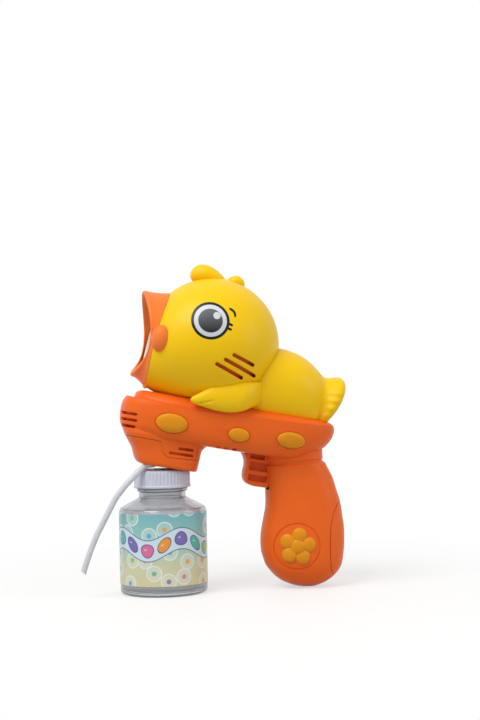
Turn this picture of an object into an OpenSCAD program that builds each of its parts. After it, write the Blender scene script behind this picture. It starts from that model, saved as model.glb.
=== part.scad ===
// Duckling bubble blower standing on its bottle: a tilted battery gun with a hollow duck on top,
// a blower and a small roller pump inside, and a capped bottle of bubble solution under the nose.
// The bottle stands upright on the origin. The gun is drawn level, in its own frame, and then tilted.

/* [Bottle] */
// Outer diameter of the bottle
bottle_d = 49.5; // [46:0.5:53]
// Height of the straight side up to the shoulder
bottle_side_h = 46; // [43:0.5:50]
// Height of the sloping shoulder
shoulder_h = 8.4; // [7.4:0.2:9.4]
// Wall of the bottle
bottle_wall = 1.6; // [1.2:0.1:2]
// Outer diameter of the neck
neck_d = 26.5; // [24:0.5:28]
// Height of the neck above the shoulder
neck_h = 12.4; // [12:0.2:15]
// Height of the carrying bead under the cap
bead_h = 1.6; // [1:0.1:2.4]
// Height of the label
label_h = 39.8; // [34:0.2:39.8]
// Thickness of the label film
label_t = 0.2; // [0.1:0.05:0.4]
// Depth of the bubble solution in the bottle
solution_h = 43; // [20:1:43]

/* [Cap] */
// Wall of the cap skirt
cap_wall = 2.6; // [2:0.1:3.2]
// Thickness of the cap top
cap_top_t = 1.8; // [1.4:0.1:2.4]
// Thickness of the sealing disc inside the cap
liner_t = 0.8; // [0.5:0.1:1.2]
// Number of grip ribs round the cap
cap_ribs = 48; // [36:4:60]
// Depth of the grip ribs
rib_depth = 0.5; // [0.3:0.05:0.8]

/* [Gun] */
// Nose-up tilt of the gun as it stands
gun_tilt = 10.5; // [9.5:0.25:11.5]
// Gap between the cap and the block that leans over it
cap_gap = 0.5; // [0.3:0.1:1]
// Half width of the orange hull
hull_half = 26; // [25:0.5:28]
// Wall of the moulded shells
shell_wall = 2.2; // [1.8:0.1:2.6]
// Height of the flat deck under the duck
deck_w = 42.3; // [41.5:0.1:43.5]
// Radius of the duck's head
head_r = 38.2; // [37:0.1:39]
// Half width of the duck's back
back_half = 22.8; // [21:0.2:24]
// Half width of the grip
grip_half = 17.4; // [16.8:0.1:19]
// Bore of the socket that takes the bottle neck
socket_d = 29; // [28:0.25:29.5]
// Depth of that socket
socket_h = 14.5; // [13:0.25:15]
// Outer diameter of the suction tube
tube_d = 3.3; // [3:0.1:3.6]

/* [Trigger] */
// Thickness of the trigger across the gun
trigger_t = 12; // [10:0.5:13]
// Diameter of the trigger's pivot pin
trigger_pin_d = 3; // [2:0.25:4]
// Wall of the trigger's front and ribs
trigger_wall = 2; // [1.6:0.1:2.6]

/* [Blower and pump] */
// Diameter of the motors
motor_d = 20; // [18:0.5:20.5]
// Height of the motors across their flats
motor_flat = 15; // [14:0.25:15.5]
// Length of the motors
motor_l = 25; // [23:0.5:26]
// Diameter of the motor shafts
shaft_d = 2; // [1.5:0.1:2.3]
// Diameter of the blower wheel
fan_d = 34; // [30:0.5:36]
// Number of blades on the blower wheel
fan_blades = 9; // [7:1:12]
// Gear module of the pump drive
gear_module = 0.5; // [0.45:0.01:0.55]
// Teeth on the motor pinion
pinion_teeth = 9; // [9:1:10]
// Teeth on the pump gear
gear_teeth = 27; // [24:3:27]

/* [Fits] */
// Radial play of a turning fit
run_fit = 0.06; // [0.04:0.01:0.1]
// Gap between pieces that move apart
part_gap = 0.35; // [0.3:0.05:0.5]

/* [Hidden] */
$fn = 96;

// Colours of the mouldings
orange = "#F0732B";
yellow = "#FBD420";
amber = "#E7970F";
clear = "#C9D3D8";
white = "#F2F4F8";
steel = "#B9BCC0";
black = "#26262A";

// Bottle and cap heights above the floor
neck_z = bottle_side_h + shoulder_h;
lip_z = neck_z + neck_h;
bead_rise = 3.2;
bead_z = neck_z + bead_rise;
cap_z = bead_z + bead_h + part_gap;
cap_top_z = lip_z + part_gap + liner_t + cap_top_t;
cap_bore_d = neck_d + 2 * part_gap;
cap_d = cap_bore_d + 2 * cap_wall;
bead_d = neck_d + 2.2;
neck_bore_d = neck_d - 4;
base_corner = 2.5;
label_z = 6.2;

// Gun frame: u runs to the rear, w up, with its foot over the bottle's axis
block_w = 1.4;
// How far the cap's rear edge stands up in the mouth of the socket
cap_sink = 1.8;
gun_z = cap_top_z + cap_gap - cap_sink + (cap_d / 2 * sin(gun_tilt) - block_w) / cos(gun_tilt);
// Heights of the hull: its flat underside, the edge above that, and its rim under the deck
hull_w = 16.6;
hull_edge_w = 17;
deck_rise = 5.3;
rim_w = deck_w - deck_rise;
// Ledge in front of the deck: its depth and thickness
nose_ledge = 4.4;
ledge_t = 1.6;
// Side outline of the hull: height, front, rear and share of the half width
hull_rows = [[hull_w, -20, 70, 0.66], [hull_edge_w, -23, 76, 0.79], [18.5, -25, 80, 0.87],
    [22, -27.4, 84.6, 0.94], [26, -28.3, 90.4, 0.975], [rim_w - 6.5, -28.5, 93.6, 0.995],
    [rim_w - 2.5, -27.8, 94.6, 1], [rim_w, -26.4, 94.2, 1]];
hull_rim = hull_rows[len(hull_rows) - 1];
// The same for the block under the nose that holds the socket
block_rows = [[block_w, -13, 19, 0.9], [block_w + 0.9, -15, 19.6, 0.97], [5.2, -17, 19.8, 1],
    [9.5, -18.9, 20.1, 1.02], [13.7, -22, 20.6, 1.06], [17.4, -24.6, 23.4, 1.12]];
block_half = socket_d / 2 + 3.2;
socket_u = 2.4;
// Seam between the socket cover and the hull, seen from the side
seam = [[-40, 15.6], [-8.4, 15.6], [-4.6, 14], [-3.3, 11.2], [-2.2, 9.1], [0.4, 7.5], [4, 7.3], [40, 9.2]];
seam_gap = 0.1;
cup_wall = 1.5;
cup_top_t = 1.8;
cup_d = socket_d + 2 * cup_wall;
cup_top = block_w + socket_h + cup_top_t;
nipple_l = 2.6;
seal_t = 1.2;

// Small helpers: signed power and mixing
function spow(x, p) = sign(x) * pow(abs(x), p);
function mix(a, b, t) = a + (b - a) * t;

// Closed loop of a rounded oblong at height w, from front to rear and half wide
function oblong(front, rear, half, w, power, sides) = [for (i = [0:sides - 1]) let (a = 360 * i / sides)
    [mix(front, rear, 0.5) + (rear - front) / 2 * spow(cos(a), 2 / power),
     half * spow(sin(a), 2 / power), w]];
// Dip of the hull's rim between nose and tail
function rim_dip(u) = u < 10 ? 2.2 * pow((10 - u) / 36, 2) - 1.2 : 3 * pow((u - 10) / 84, 2) - 1.2;

// Solid through a stack of loops that turn left as seen from the last one
module loft(loops) {
    n = len(loops[0]);
    m = len(loops);
    polyhedron(points = [for (l = loops) each l], faces = concat(
        [for (i = [1:n - 2]) [0, i, i + 1]],
        [for (i = [1:n - 2]) [(m - 1) * n, (m - 1) * n + i + 1, (m - 1) * n + i]],
        [for (j = [0:m - 2], i = [0:n - 1]) let (k = (i + 1) % n) each [
            [j * n + i, (j + 1) * n + i, (j + 1) * n + k], [j * n + i, (j + 1) * n + k, j * n + k]]]));
}
// Ring through a stack of loops whose last one joins the first
module ring_loft(loops) {
    n = len(loops[0]);
    m = len(loops);
    polyhedron(points = [for (l = loops) each l],
        faces = [for (j = [0:m - 1], i = [0:n - 1]) let (k = (i + 1) % n, q = (j + 1) % m) each [
            [j * n + i, q * n + i, q * n + k], [j * n + i, q * n + k, j * n + k]]]);
}
// Tube swept along points, with a ring square to the path at each
function unit(v) = v / norm(v);
module tube(path, d, sides) {
    last = len(path) - 1;
    function tangent(i) = unit(path[min(i + 1, last)] - path[max(i - 1, 0)]);
    loft([for (i = [0:last])
        let (t = tangent(i), side = unit(cross([0.31, 0.95, 0.07], t)), up = cross(t, side))
        [for (k = [0:sides - 1]) let (a = 360 * k / sides)
            path[i] + d / 2 * (cos(a) * side + sin(a) * up)]]);
}
// Points of a smooth curve through the route's own points
function spline_point(p, i, t) =
    let (n = len(p) - 1, a = p[max(i - 1, 0)], b = p[i], c = p[i + 1], d = p[min(i + 2, n)])
    b + 0.5 * t * (c - a + t * (2 * a - 5 * b + 4 * c - d + t * (3 * (b - c) + d - a)));
function smooth_path(p, steps) = concat(
    [for (i = [0:len(p) - 2], k = [0:steps - 1]) spline_point(p, i, k / steps)], [p[len(p) - 1]]);

module in_gun() {
    translate([0, 0, gun_z]) rotate([0, gun_tilt, 0]) children();
}
// One half of a moulding, on the side given by -1 (near) or 1
module half(side) {
    intersection() {
        children();
        translate([-200, side < 0 ? -200 : 0, -200]) cube([400, 200, 400]);
    }
}

// Bottle wall as one outline: outside up to the lip, then inside down to the base
bottle_r = bottle_d / 2;
inner_r = bottle_r - bottle_wall;
base_t = 2;
arc_steps = 6;
function corner(r, z, round) = [for (k = [0:arc_steps]) let (a = 90 * k / arc_steps)
    [r - round + round * sin(a), z + round - round * cos(a)]];
// Shoulder: a straight slope between two rounded corners, as shares of the way in and up
slope_shares = [[0, 0], [0.01, 0.12], [0.06, 0.25], [0.14, 0.35], [0.83, 0.86], [0.93, 0.92],
    [0.98, 0.97], [1, 1]];
function shoulder(r, neck_r, z, h) = [for (s = slope_shares) [mix(r, neck_r, s[0]), z + h * s[1]]];
module bottle() {
    outside = concat([[0, 0]], corner(bottle_r, 0, base_corner),
        shoulder(bottle_r, neck_d / 2, bottle_side_h, shoulder_h),
        [[neck_d / 2, bead_z], [bead_d / 2, bead_z], [bead_d / 2, bead_z + bead_h],
         [neck_d / 2, bead_z + bead_h], [neck_d / 2, lip_z]]);
    inside = concat([[0, base_t]], corner(inner_r, base_t, base_corner),
        shoulder(inner_r, neck_bore_d / 2, bottle_side_h - bottle_wall / 2, shoulder_h),
        [[neck_bore_d / 2, lip_z]]);
    last = len(inside) - 1;
    color(clear) rotate_extrude() polygon(concat(outside, [for (i = [last:-1:0]) inside[i]]));
}
module bubble_solution() {
    color("#DDE7E4") rotate_extrude()
        polygon(concat([[0, base_t]], corner(inner_r, base_t, base_corner),
            [[inner_r, base_t + solution_h], [0, base_t + solution_h]]));
}
module bottle_label() {
    color("#67B7AA") translate([0, 0, label_z]) difference() {
        cylinder(d = bottle_d + 2 * label_t, h = label_h);
        translate([0, 0, -1]) cylinder(d = bottle_d, h = label_h + 2);
    }
}
// Ribbed screw cap with a plain lower rim and a plain raised top
cap_rim_h = 1.4;
cap_crown_h = 0.8;
module bottle_cap() {
    rib_step = 360 / cap_ribs;
    rib_r = cap_d / 2 - 0.3;
    ribbed = [for (i = [0:cap_ribs - 1], k = [[0.02, 1], [0.3, 0], [0.7, 0], [0.98, 1]])
        let (a = rib_step * (i + k[0]), r = rib_r - rib_depth * k[1]) [r * cos(a), r * sin(a)]];
    color(white) difference() {
        union() {
            translate([0, 0, cap_z]) cylinder(d = cap_d, h = cap_rim_h);
            translate([0, 0, cap_z + cap_rim_h / 2])
                linear_extrude(cap_top_z - cap_z - cap_rim_h / 2 - cap_crown_h) polygon(ribbed);
            translate([0, 0, cap_z]) cylinder(r = rib_r - rib_depth - 0.4, h = cap_top_z - cap_z);
        }
        translate([0, 0, cap_z - 1]) cylinder(d = cap_bore_d, h = cap_top_z - cap_top_t - cap_z + 1);
    }
}
module cap_liner() {
    color("#D9DCE0") translate([0, 0, cap_top_z - cap_top_t - liner_t])
        cylinder(d = cap_bore_d - 0.2, h = liner_t);
}

// Hull of the gun: oblong levels from the flat underside up to the dipped rim
hull_sides = 40;
hull_power = 3;
function hull_loop(row, inset, lift, ledge = 0) = [for (p = oblong(row[1] + inset + ledge, row[2] - inset,
    hull_half * row[3] - inset, row[0] + lift, hull_power, hull_sides))
    [p[0], p[1], p[2] + rim_dip(p[0]) * max(0, (row[0] - hull_edge_w) / (rim_w - hull_edge_w))]];
module hull_solid(grow = 0) {
    loft(concat([for (r = hull_rows) hull_loop(r, -grow, r[0] == hull_w ? -grow : 0)],
        [hull_loop(hull_rim, 0.3, 0, nose_ledge - 0.3)]));
}
module hull_hollow() {
    loft(concat([for (r = hull_rows) if (r[0] < rim_w)
            hull_loop(r, shell_wall, shell_wall * (rim_w - r[0]) / (rim_w - hull_w))],
        [hull_loop(hull_rim, shell_wall, -ledge_t),
         hull_loop(hull_rim, shell_wall + 0.1, -ledge_t, nose_ledge),
         hull_loop(hull_rim, shell_wall + 0.1, 3, nose_ledge)]));
}
module block_solid() {
    loft([for (r = block_rows) oblong(r[1], r[2], block_half * r[3], r[0], 3.2, 36)]);
}
// Everything under the seam of the socket cover, pushed by a gap
module below_seam(gap) {
    rotate([90, 0, 0]) linear_extrude(120, center = true)
        polygon(concat([for (p = seam) [p[0], p[1] + gap]], [[40, -40], [-40, -40]]));
}
module socket_bore(gap) {
    translate([socket_u, 0, -10]) cylinder(d = cup_d + 2 * gap, h = 10 + cup_top + gap);
    translate([socket_u, nipple_y, cup_top - 1]) cylinder(d = nipple_d + 2 * gap, h = 6);
}
// Cooling slots at the nose and on the block
nose_slots = [[-32, -20.1, 28.2], [-32, -19.6, 24.8], [-32, -19.9, 21.2]];
block_slots = [[5.4, 14.5, 13.2], [0.7, 14.8, 10.1]];
slot_h = 1.6;
nose_root = 4;
block_root = 13;
trigger_u = 52.5;
trigger_w = 21;
trigger_room = trigger_t / 2 + part_gap;
boss_d = trigger_pin_d + 4;
pin_seat = 5;
hull_slot = [43, 63];
module side_slot(s, root) {
    for (e = [-1, 1]) translate([mix(s[0], s[1], 0.5), e * (root + 30), s[2]])
        cube([s[1] - s[0], 60, slot_h], center = true);
}
module hull_half_shell(side) {
    color(orange) in_gun() difference() {
        union() {
            half(side) difference() {
                union() {
                    hull_solid();
                    block_solid();
                }
                hull_hollow();
                below_seam(seam_gap);
                socket_bore(0.1);
                for (s = nose_slots) side_slot(s, nose_root);
                for (s = block_slots) side_slot(s, block_root);
                translate([hull_slot[0], -trigger_room, trigger_w - 11])
                    cube([hull_slot[1] - hull_slot[0], 2 * trigger_room, 10]);
            }
            translate([trigger_u, side * (trigger_room + 0.1), trigger_w]) rotate([-side * 90, 0, 0])
                cylinder(d = boss_d, h = hull_half * 0.9 - trigger_room);
        }
        translate([trigger_u, side * trigger_room, trigger_w]) rotate([-side * 90, 0, 0])
            cylinder(d = trigger_pin_d + 0.1, h = pin_seat + 0.2);
    }
}
module hull_left() { hull_half_shell(-1); }
module hull_right() { hull_half_shell(1); }

// Lower cover of the block, the cup that takes the bottle neck, and its gasket
module tank_socket() {
    color(orange) in_gun() difference() {
        intersection() {
            block_solid();
            below_seam(0);
        }
        socket_bore(0.1);
        tube_room();
    }
}
cup_mouth = block_w + 0.6;
nipple_d = tube_d + 1.2;
nipple_y = -8;
spigot_l = 2.2;
spigot_end = cup_top - cup_top_t - spigot_l;
module socket_cup() {
    color("#E46A22") in_gun() translate([socket_u, 0, 0]) difference() {
        union() {
            difference() {
                translate([0, 0, cup_mouth]) cylinder(d = cup_d, h = cup_top - cup_mouth);
                translate([0, 0, cup_mouth - 1])
                    cylinder(d = socket_d, h = cup_top - cup_top_t - cup_mouth + 1);
            }
            translate([0, nipple_y, spigot_end]) cylinder(d = nipple_d, h = cup_top + nipple_l - spigot_end);
        }
        translate([0, nipple_y, spigot_end - 1]) cylinder(d = tube_d - 1, h = 30);
        translate([-socket_u, 0, 0]) intersection() {
            tube_room();
            translate([-30, -30, cup_mouth - 1]) cube([60, 60, 4]);
        }
    }
}
seal_bore = socket_d - 6;
module socket_seal() {
    color(white) in_gun() translate([socket_u, 0, cup_top - cup_top_t - seal_t]) difference() {
        cylinder(d = socket_d - 0.2, h = seal_t);
        translate([0, 0, -1]) cylinder(d = seal_bore, h = seal_t + 2);
    }
}
// Suction tube: from the cup's ceiling, out over the front of the cap and down to a bare end
tube_route = [[socket_u, nipple_y, spigot_end - 0.25], [socket_u, nipple_y, 11.2], [0.8, -8.3, 7],
    [-2.6, -8.8, 3.8], [-6.2, -9.4, 2], [-9.3, -10.2, 1], [-11.3, -11, -0.2], [-13.3, -12, -2.4],
    [-15.4, -12.9, -5.3], [-20.2, -13.6, -12.2], [-24.1, -13.9, -19.5], [-26, -14, -24.8],
    [-28.6, -14, -33.1], [-31.2, -14, -41.3], [-32.8, -14, -48.2], [-34.3, -14, -56.3], [-35.2, -14, -63.1]];
module tube_room(gap = part_gap) {
    tube(smooth_path(tube_route, 2), tube_d + 2 * gap, 8);
}
module suction_tube() {
    color("#E4E9EC") in_gun() tube_room(0);
}

// Crowned deck between the hull's rim and the duck
// Height, inset at the sides and rear, and inset at the front of each level
deck_rows = [[rim_w + 0.1, 0.4, nose_ledge], [rim_w + 1.4, 0.7, 4.5], [rim_w + 3.1, 2.6, 4.9],
    [deck_w - 0.7, 6, 6.2], [deck_w, 10.5, 8.2]];
function deck_loop(row, inset, lift) = [for (p = oblong(hull_rim[1] + row[2] + inset,
    hull_rim[2] - row[1] - inset, hull_half - row[1] - inset, row[0] + lift, hull_power, hull_sides))
    [p[0], p[1], p[2] + rim_dip(p[0]) * (1 - (row[0] - rim_w) / deck_rise)]];
module deck_solid() {
    loft([for (r = deck_rows) deck_loop(r, 0, 0)]);
}
hose_hole_u = -4;
wire_hole_u = 60;
hose_hole_d = 12;
module top_deck() {
    color(orange) in_gun() difference() {
        deck_solid();
        loft(concat([deck_loop(deck_rows[0], shell_wall, -3)],
            [for (r = deck_rows) deck_loop(r, shell_wall, -shell_wall)]));
        for (u = [hose_hole_u, wire_hole_u]) translate([u, 0, rim_w]) cylinder(d = hose_hole_d, h = 20);
    }
}

// Duck's head: a ball whose lower front is filled out to a jowl, cut off for the mouth along a bowed edge
head_u = 17.3;
head_w = deck_w + 32.2;
head_lean = 6;
mouth_s = head_r - 6.7;
mouth_bow = 2.8;
bow_half = 24;
head_front = head_r - 1.7;
jowl = 5;
head_sides = 36;
function edge_s(y) = mouth_s + mouth_bow * pow(y / bow_half, 2);
module in_head() {
    translate([head_u, 0, head_w]) rotate([0, head_lean - 90, 0]) children();
}
function head_loop(s, inset) = let (r = head_r - inset, top = sqrt(max(r * r - s * s, 0.04)),
    low = s > 0 ? max(top, r - jowl * pow(s / mouth_s, 1.9)) : top)
    [for (i = [0:head_sides - 1]) let (a = 360 * i / head_sides)
        [(top - low) / 2 + (top + low) / 2 * cos(a), (top + low) / 2 * sin(a), s]];
function head_levels(r, front, count) = let (end = asin(front / r))
    [for (i = [0:count]) r * sin(mix(-87, end, i / count))];
// Everything behind the bowed edge of the mouth
module behind_mouth(gap) {
    bow = [for (i = [-8:8]) [5 * i, edge_s(5 * i) + gap]];
    rotate([90, 0, 90]) linear_extrude(120, center = true) polygon(concat([[40, -60], [-40, -60]], bow));
}
module head_solid(grow = 0) {
    in_head() intersection() {
        loft([for (s = head_levels(head_r + grow, head_front, 20)) head_loop(s, -grow)]);
        behind_mouth(grow);
    }
}
module head_hollow() {
    r = head_r - shell_wall;
    in_head() loft([for (s = head_levels(r, head_front - 1, 16)) head_loop(s, shell_wall)]);
}
module below_deck() {
    translate([-100, -100, deck_w - 100]) cube([300, 200, 100.1]);
}
// Three slanted air slots in each cheek
cheek_slots = [[24.6, 69.1, 38.6, 65.1], [20.4, 65.9, 40.9, 59.4], [16.1, 62.8, 33.5, 57]];
cheek_slot_h = 2.1;
module head_half_shell(side) {
    color(yellow) in_gun() half(side) difference() {
        head_solid();
        head_hollow();
        below_deck();
        translate([hose_hole_u, 0, rim_w]) cylinder(d = hose_hole_d, h = 12);
        for (c = cheek_slots) translate([mix(c[0], c[2], 0.5), side * 30, mix(c[1], c[3], 0.5)])
            rotate([0, atan2(c[1] - c[3], c[2] - c[0]), 0])
                cube([norm([c[2] - c[0], c[3] - c[1]]), 40, cheek_slot_h], center = true);
    }
}
module head_left() { head_half_shell(-1); }
module head_right() { head_half_shell(1); }

// Duck's back and upturned tail: rear distance, height of the top line, share of the half width
// and share of the tail's lean, which draws the tail in towards the deck
back_rows = [[38, 71, 0.7, 0], [44, 75.6, 0.86, 0], [50, 78.4, 0.95, 0], [56, 79.4, 0.99, 0], [62, 78.9, 1, 0],
    [68, 77.6, 0.97, 0], [74, 74.9, 0.9, 0], [79, 71.4, 0.8, 0.05], [82.5, 68.6, 0.71, 0.12],
    [85, 67.2, 0.66, 0.3], [88, 67.3, 0.66, 0.54], [91, 68.1, 0.68, 0.78], [93.6, 68.6, 0.69, 0.93],
    [95.3, 68.1, 0.68, 0.98], [96.4, 66.6, 0.64, 1], [96.8, 64.4, 0.57, 1]];
back_low = 35;
tail_pivot = 63;
tail_lean = 0.0158;
tail_depth = 21;
tail_hollow = back_rows[len(back_rows) - 1][0] - 4.8;
function tail_shift(w) = tail_lean * pow(min(max(tail_pivot - w, 0), tail_depth), 2);
function back_loop(row, inset) = let (half_h = (row[1] - back_low) / 2)
    [for (i = [0:27]) let (a = 360 * i / 28, w = back_low + half_h + (half_h - inset) * spow(sin(a), 0.9))
        [row[0] - row[3] * tail_shift(w), (back_half * row[2] - inset) * spow(cos(a), 0.9), w]];
module back_solid() {
    loft([for (r = back_rows) back_loop(r, 0)]);
}
module duck_back() {
    color(yellow) in_gun() difference() {
        back_solid();
        loft([for (r = back_rows) if (r[0] < tail_hollow) back_loop(r, shell_wall)]);
        head_solid(0.1);
        below_deck();
    }
}
// Tuft of two rounded lobes on the crown of the head, in sections: distance, height above the crown,
// half height and half width
crest_lobes = [
    [[-1.7, -0.1, 0.2, 0.2], [-1.3, -0.1, 2.1, 2.4], [0.2, 0.2, 4.1, 4.5], [2.8, 0.7, 5.4, 5.9],
     [6.8, 0.9, 5.7, 6.9], [10.8, 0.2, 5.3, 6.8], [14.8, -1.2, 4.6, 5.9], [18.8, -3.1, 3.4, 4.4],
     [21.2, -4.5, 1.9, 2.6], [21.8, -4.9, 0.2, 0.2]],
    [[19.8, -1.3, 0.2, 0.2], [20.2, -1.2, 1.7, 2.2], [22, -0.5, 3, 4], [25, -0.1, 3.6, 4.9],
     [28, -0.8, 3.3, 4.5], [29.9, -1.8, 2.1, 3], [30.4, -2.2, 0.2, 0.2]]];
module crest() {
    color(yellow) in_gun() difference() {
        for (rows = crest_lobes) loft([for (r = rows) [for (i = [0:19]) let (a = 18 * i)
            [r[0], r[3] * cos(a), head_w + head_r + r[1] + r[2] * sin(a)]]]);
        head_solid(0.05);
    }
}
// Folded wing on each flank: distance, height above the deck, half height, way in from the head's
// radius and half thickness
wing_rows = [[6.8, -1.1, 0.6, 10.9, 0.6], [8, -1, 1.8, 10.8, 1.5], [11.5, -0.1, 3.6, 10.8, 2.6],
    [17, 1.6, 6.1, 10.8, 3.4], [22, 2.1, 7.4, 10.8, 3.9], [30, 3.7, 8.2, 11, 4.4], [36, 5.1, 8.4, 11.2, 4.8],
    [42, 6.9, 7.9, 12, 4.8], [47, 8.9, 6.8, 13.2, 4.4], [52, 10.7, 4.9, 15.8, 3.4], [56, 11.7, 2.4, 18.4, 2.2]];
module wing(side) {
    color(yellow) in_gun() difference() {
        loft([for (r = wing_rows) [for (i = [0:19]) let (a = 360 * i / 20)
            [r[0], side * (head_r - r[3]) + r[4] * cos(a), deck_w + r[1] + r[2] * sin(a)]]]);
        head_solid(0.1);
        deck_solid();
        back_solid();
    }
}
module wing_left() { wing(-1); }
module wing_right() { wing(1); }

// Open beak: a flaring ring whose upper and lower bills reach forward of the corners
beak_sides = 40;
beak_high = 27.2;
beak_wide = 25;
beak_mid = -4.2;
corner_s = 37.4;
upper_reach = 9.2;
lower_reach = 4.2;
beak_t = 2;
function beak_s(a) = corner_s + (cos(a) > 0 ? upper_reach : lower_reach) * pow(abs(cos(a)), 1.7);
beak_draw = [3.6, 1.6];
function beak_loop(rise, t, inset) = [for (i = [0:beak_sides - 1]) let (a = 360 * i / beak_sides,
    y = (beak_wide - beak_draw[1] * rise - inset) * sin(a))
    [beak_mid + (beak_high - beak_draw[0] * rise - inset) * cos(a), y, mix(edge_s(y) + 0.05, beak_s(a), t)]];
cheek_ball = [4.8, 5, 7.5];
cheek_place = [-6.1, beak_wide - 0.8, 32];
module beak() {
    color(orange) in_gun() difference() {
        union() {
            in_head() ring_loft([beak_loop(0, 0, 0), beak_loop(0.75, 0.5, 0), beak_loop(1, 0.9, 0),
                beak_loop(1, 1, 0.8), beak_loop(1, 0.92, beak_t), beak_loop(0.75, 0.5, beak_t),
                beak_loop(0, 0, beak_t)]);
            for (e = [-1, 1]) in_head() translate([cheek_place[0], e * cheek_place[1], cheek_place[2]])
                rotate([0, 90, 0]) scale(cheek_ball) sphere(r = 1);
        }
        head_solid(0.05);
    }
}

// Blower inside the head, on an axis square to the mouth: nozzle plate, duct, wheel and motor
duct_v = -5.6;
duct_bore = fan_d + 1.6;
duct_d = duct_bore + 3;
nozzle_r = head_r - 15.2;
nozzle_t = 2.4;
nozzle_s = mouth_s - 3.5;
duct_rear = 6;
mount_t = 2;
motor_s = duct_rear - mount_t;
nozzle_holes = 8;
hole_orbit = 12.4;
hole_d = 6.4;
middle_d = 7.6;
hole_lip = 1;
lip_h = 1.4;
module in_duct() {
    in_gun() in_head() translate([duct_v, 0, 0]) children();
}
// Perforated plate across the mouth, with a raised wetting ring round each hole
module bubble_nozzle() {
    color("#D9581A") in_duct() translate([0, 0, nozzle_s]) difference() {
        union() {
            cylinder(r = nozzle_r, h = nozzle_t);
            for (i = [0:nozzle_holes - 1]) rotate(360 / nozzle_holes * i) translate([hole_orbit, 0, 0])
                cylinder(d = hole_d + 2 * hole_lip, h = nozzle_t + lip_h);
            cylinder(d = middle_d + 2 * hole_lip, h = nozzle_t + lip_h);
        }
        for (i = [0:nozzle_holes - 1]) rotate(360 / nozzle_holes * i) translate([hole_orbit, 0, -1])
            cylinder(d = hole_d, h = 10);
        translate([0, 0, -1]) cylinder(d = middle_d, h = 10);
    }
}
// Duct from the wheel to the plate, with a lug to each half of the head
lug_s = 14;
lug_y = sqrt(pow(head_r - shell_wall, 2) - pow(lug_s, 2) - pow(duct_v, 2)) * 0.995 - 0.4;
module air_duct() {
    color("#E8E4DA") in_duct() difference() {
        union() {
            translate([0, 0, duct_rear]) cylinder(d = duct_d, h = nozzle_s - duct_rear);
            translate([0, 0, nozzle_s - 2]) cylinder(r = nozzle_r - 1, h = 2);
            translate([-3, -lug_y, lug_s - 2]) cube([6, 2 * lug_y, 4]);
        }
        translate([0, 0, duct_rear - 1]) cylinder(d = duct_bore, h = nozzle_s);
    }
}
// Spider plate behind the duct, with the sleeve that grips the motor
sleeve_l = 14;
module motor_mount() {
    color("#E8E4DA") in_duct() difference() {
        union() {
            translate([0, 0, motor_s]) cylinder(d = duct_d, h = mount_t);
            translate([0, 0, motor_s - sleeve_l]) cylinder(d = motor_d + 3.4, h = sleeve_l);
        }
        translate([0, 0, motor_s - sleeve_l - 1]) cylinder(d = motor_d + 0.1, h = sleeve_l + 1);
        translate([0, 0, motor_s - 1]) cylinder(d = shaft_d + 3, h = mount_t + 2);
        for (i = [0:5]) rotate(60 * i) translate([(motor_d + 3.4 + duct_bore) / 4, 0, motor_s - 1])
            cylinder(d = (duct_bore - motor_d - 3.4) / 2 - 0.6, h = mount_t + 2);
    }
}
// Small can motor with two flats, lying along z below its front face
module can_motor() {
    color(steel) difference() {
        union() {
            intersection() {
                translate([0, 0, -motor_l]) cylinder(d = motor_d, h = motor_l);
                translate([-motor_flat / 2, -motor_d, -motor_l]) cube([motor_flat, 2 * motor_d, motor_l]);
            }
            translate([0, 0, -motor_l - 1.6]) cylinder(d = 6, h = 1.7);
        }
        translate([0, 0, -6]) cylinder(d = shaft_d + 2 * run_fit, h = 10);
    }
}
module blower_motor() {
    in_duct() translate([0, 0, motor_s - 0.05]) can_motor();
}
wheel_s = 9;
wheel_h = 9;
hub_d = 12;
module fan_wheel() {
    color("#F4F1E8") in_duct() {
        translate([0, 0, motor_s - 5.5]) cylinder(d = shaft_d, h = wheel_s + wheel_h - motor_s + 5.5);
        translate([0, 0, wheel_s]) cylinder(d = hub_d, h = wheel_h);
        intersection() {
            for (i = [0:fan_blades - 1]) rotate(360 / fan_blades * i)
                translate([fan_d / 4 + 1, 0, wheel_s + wheel_h / 2]) rotate([38, 0, 0])
                    cube([fan_d / 2, 1.2, wheel_h], center = true);
            translate([0, 0, wheel_s - 2]) cylinder(d = fan_d, h = wheel_h + 4);
        }
    }
}

// Roller pump in the nose of the hull: a geared motor turns three rollers along a hose
pump_w = 27;
pump_y = -1;
backlash = 0.12;
pinion_y = pump_y + gear_module * (pinion_teeth + gear_teeth) / 2 + backlash;
pump_motor_u = -1;
gear_t = 3;
gear_u = pump_motor_u - 1.4 - gear_t;
roller_d = 2.6;
roller_orbit = 2.9;
hose_d = 2;
hose_orbit = roller_orbit + roller_d / 2 + part_gap + hose_d / 2;
pump_bore = 2 * (hose_orbit + hose_d / 2 + 0.05);
pump_d = pump_bore + 2.6;
rotor_l = 8;
pump_wall = 2;
axle_d = 2;
module on_pump_axis(u, y) {
    in_gun() translate([u, y, pump_w]) rotate([0, 90, 0]) children();
}
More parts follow.
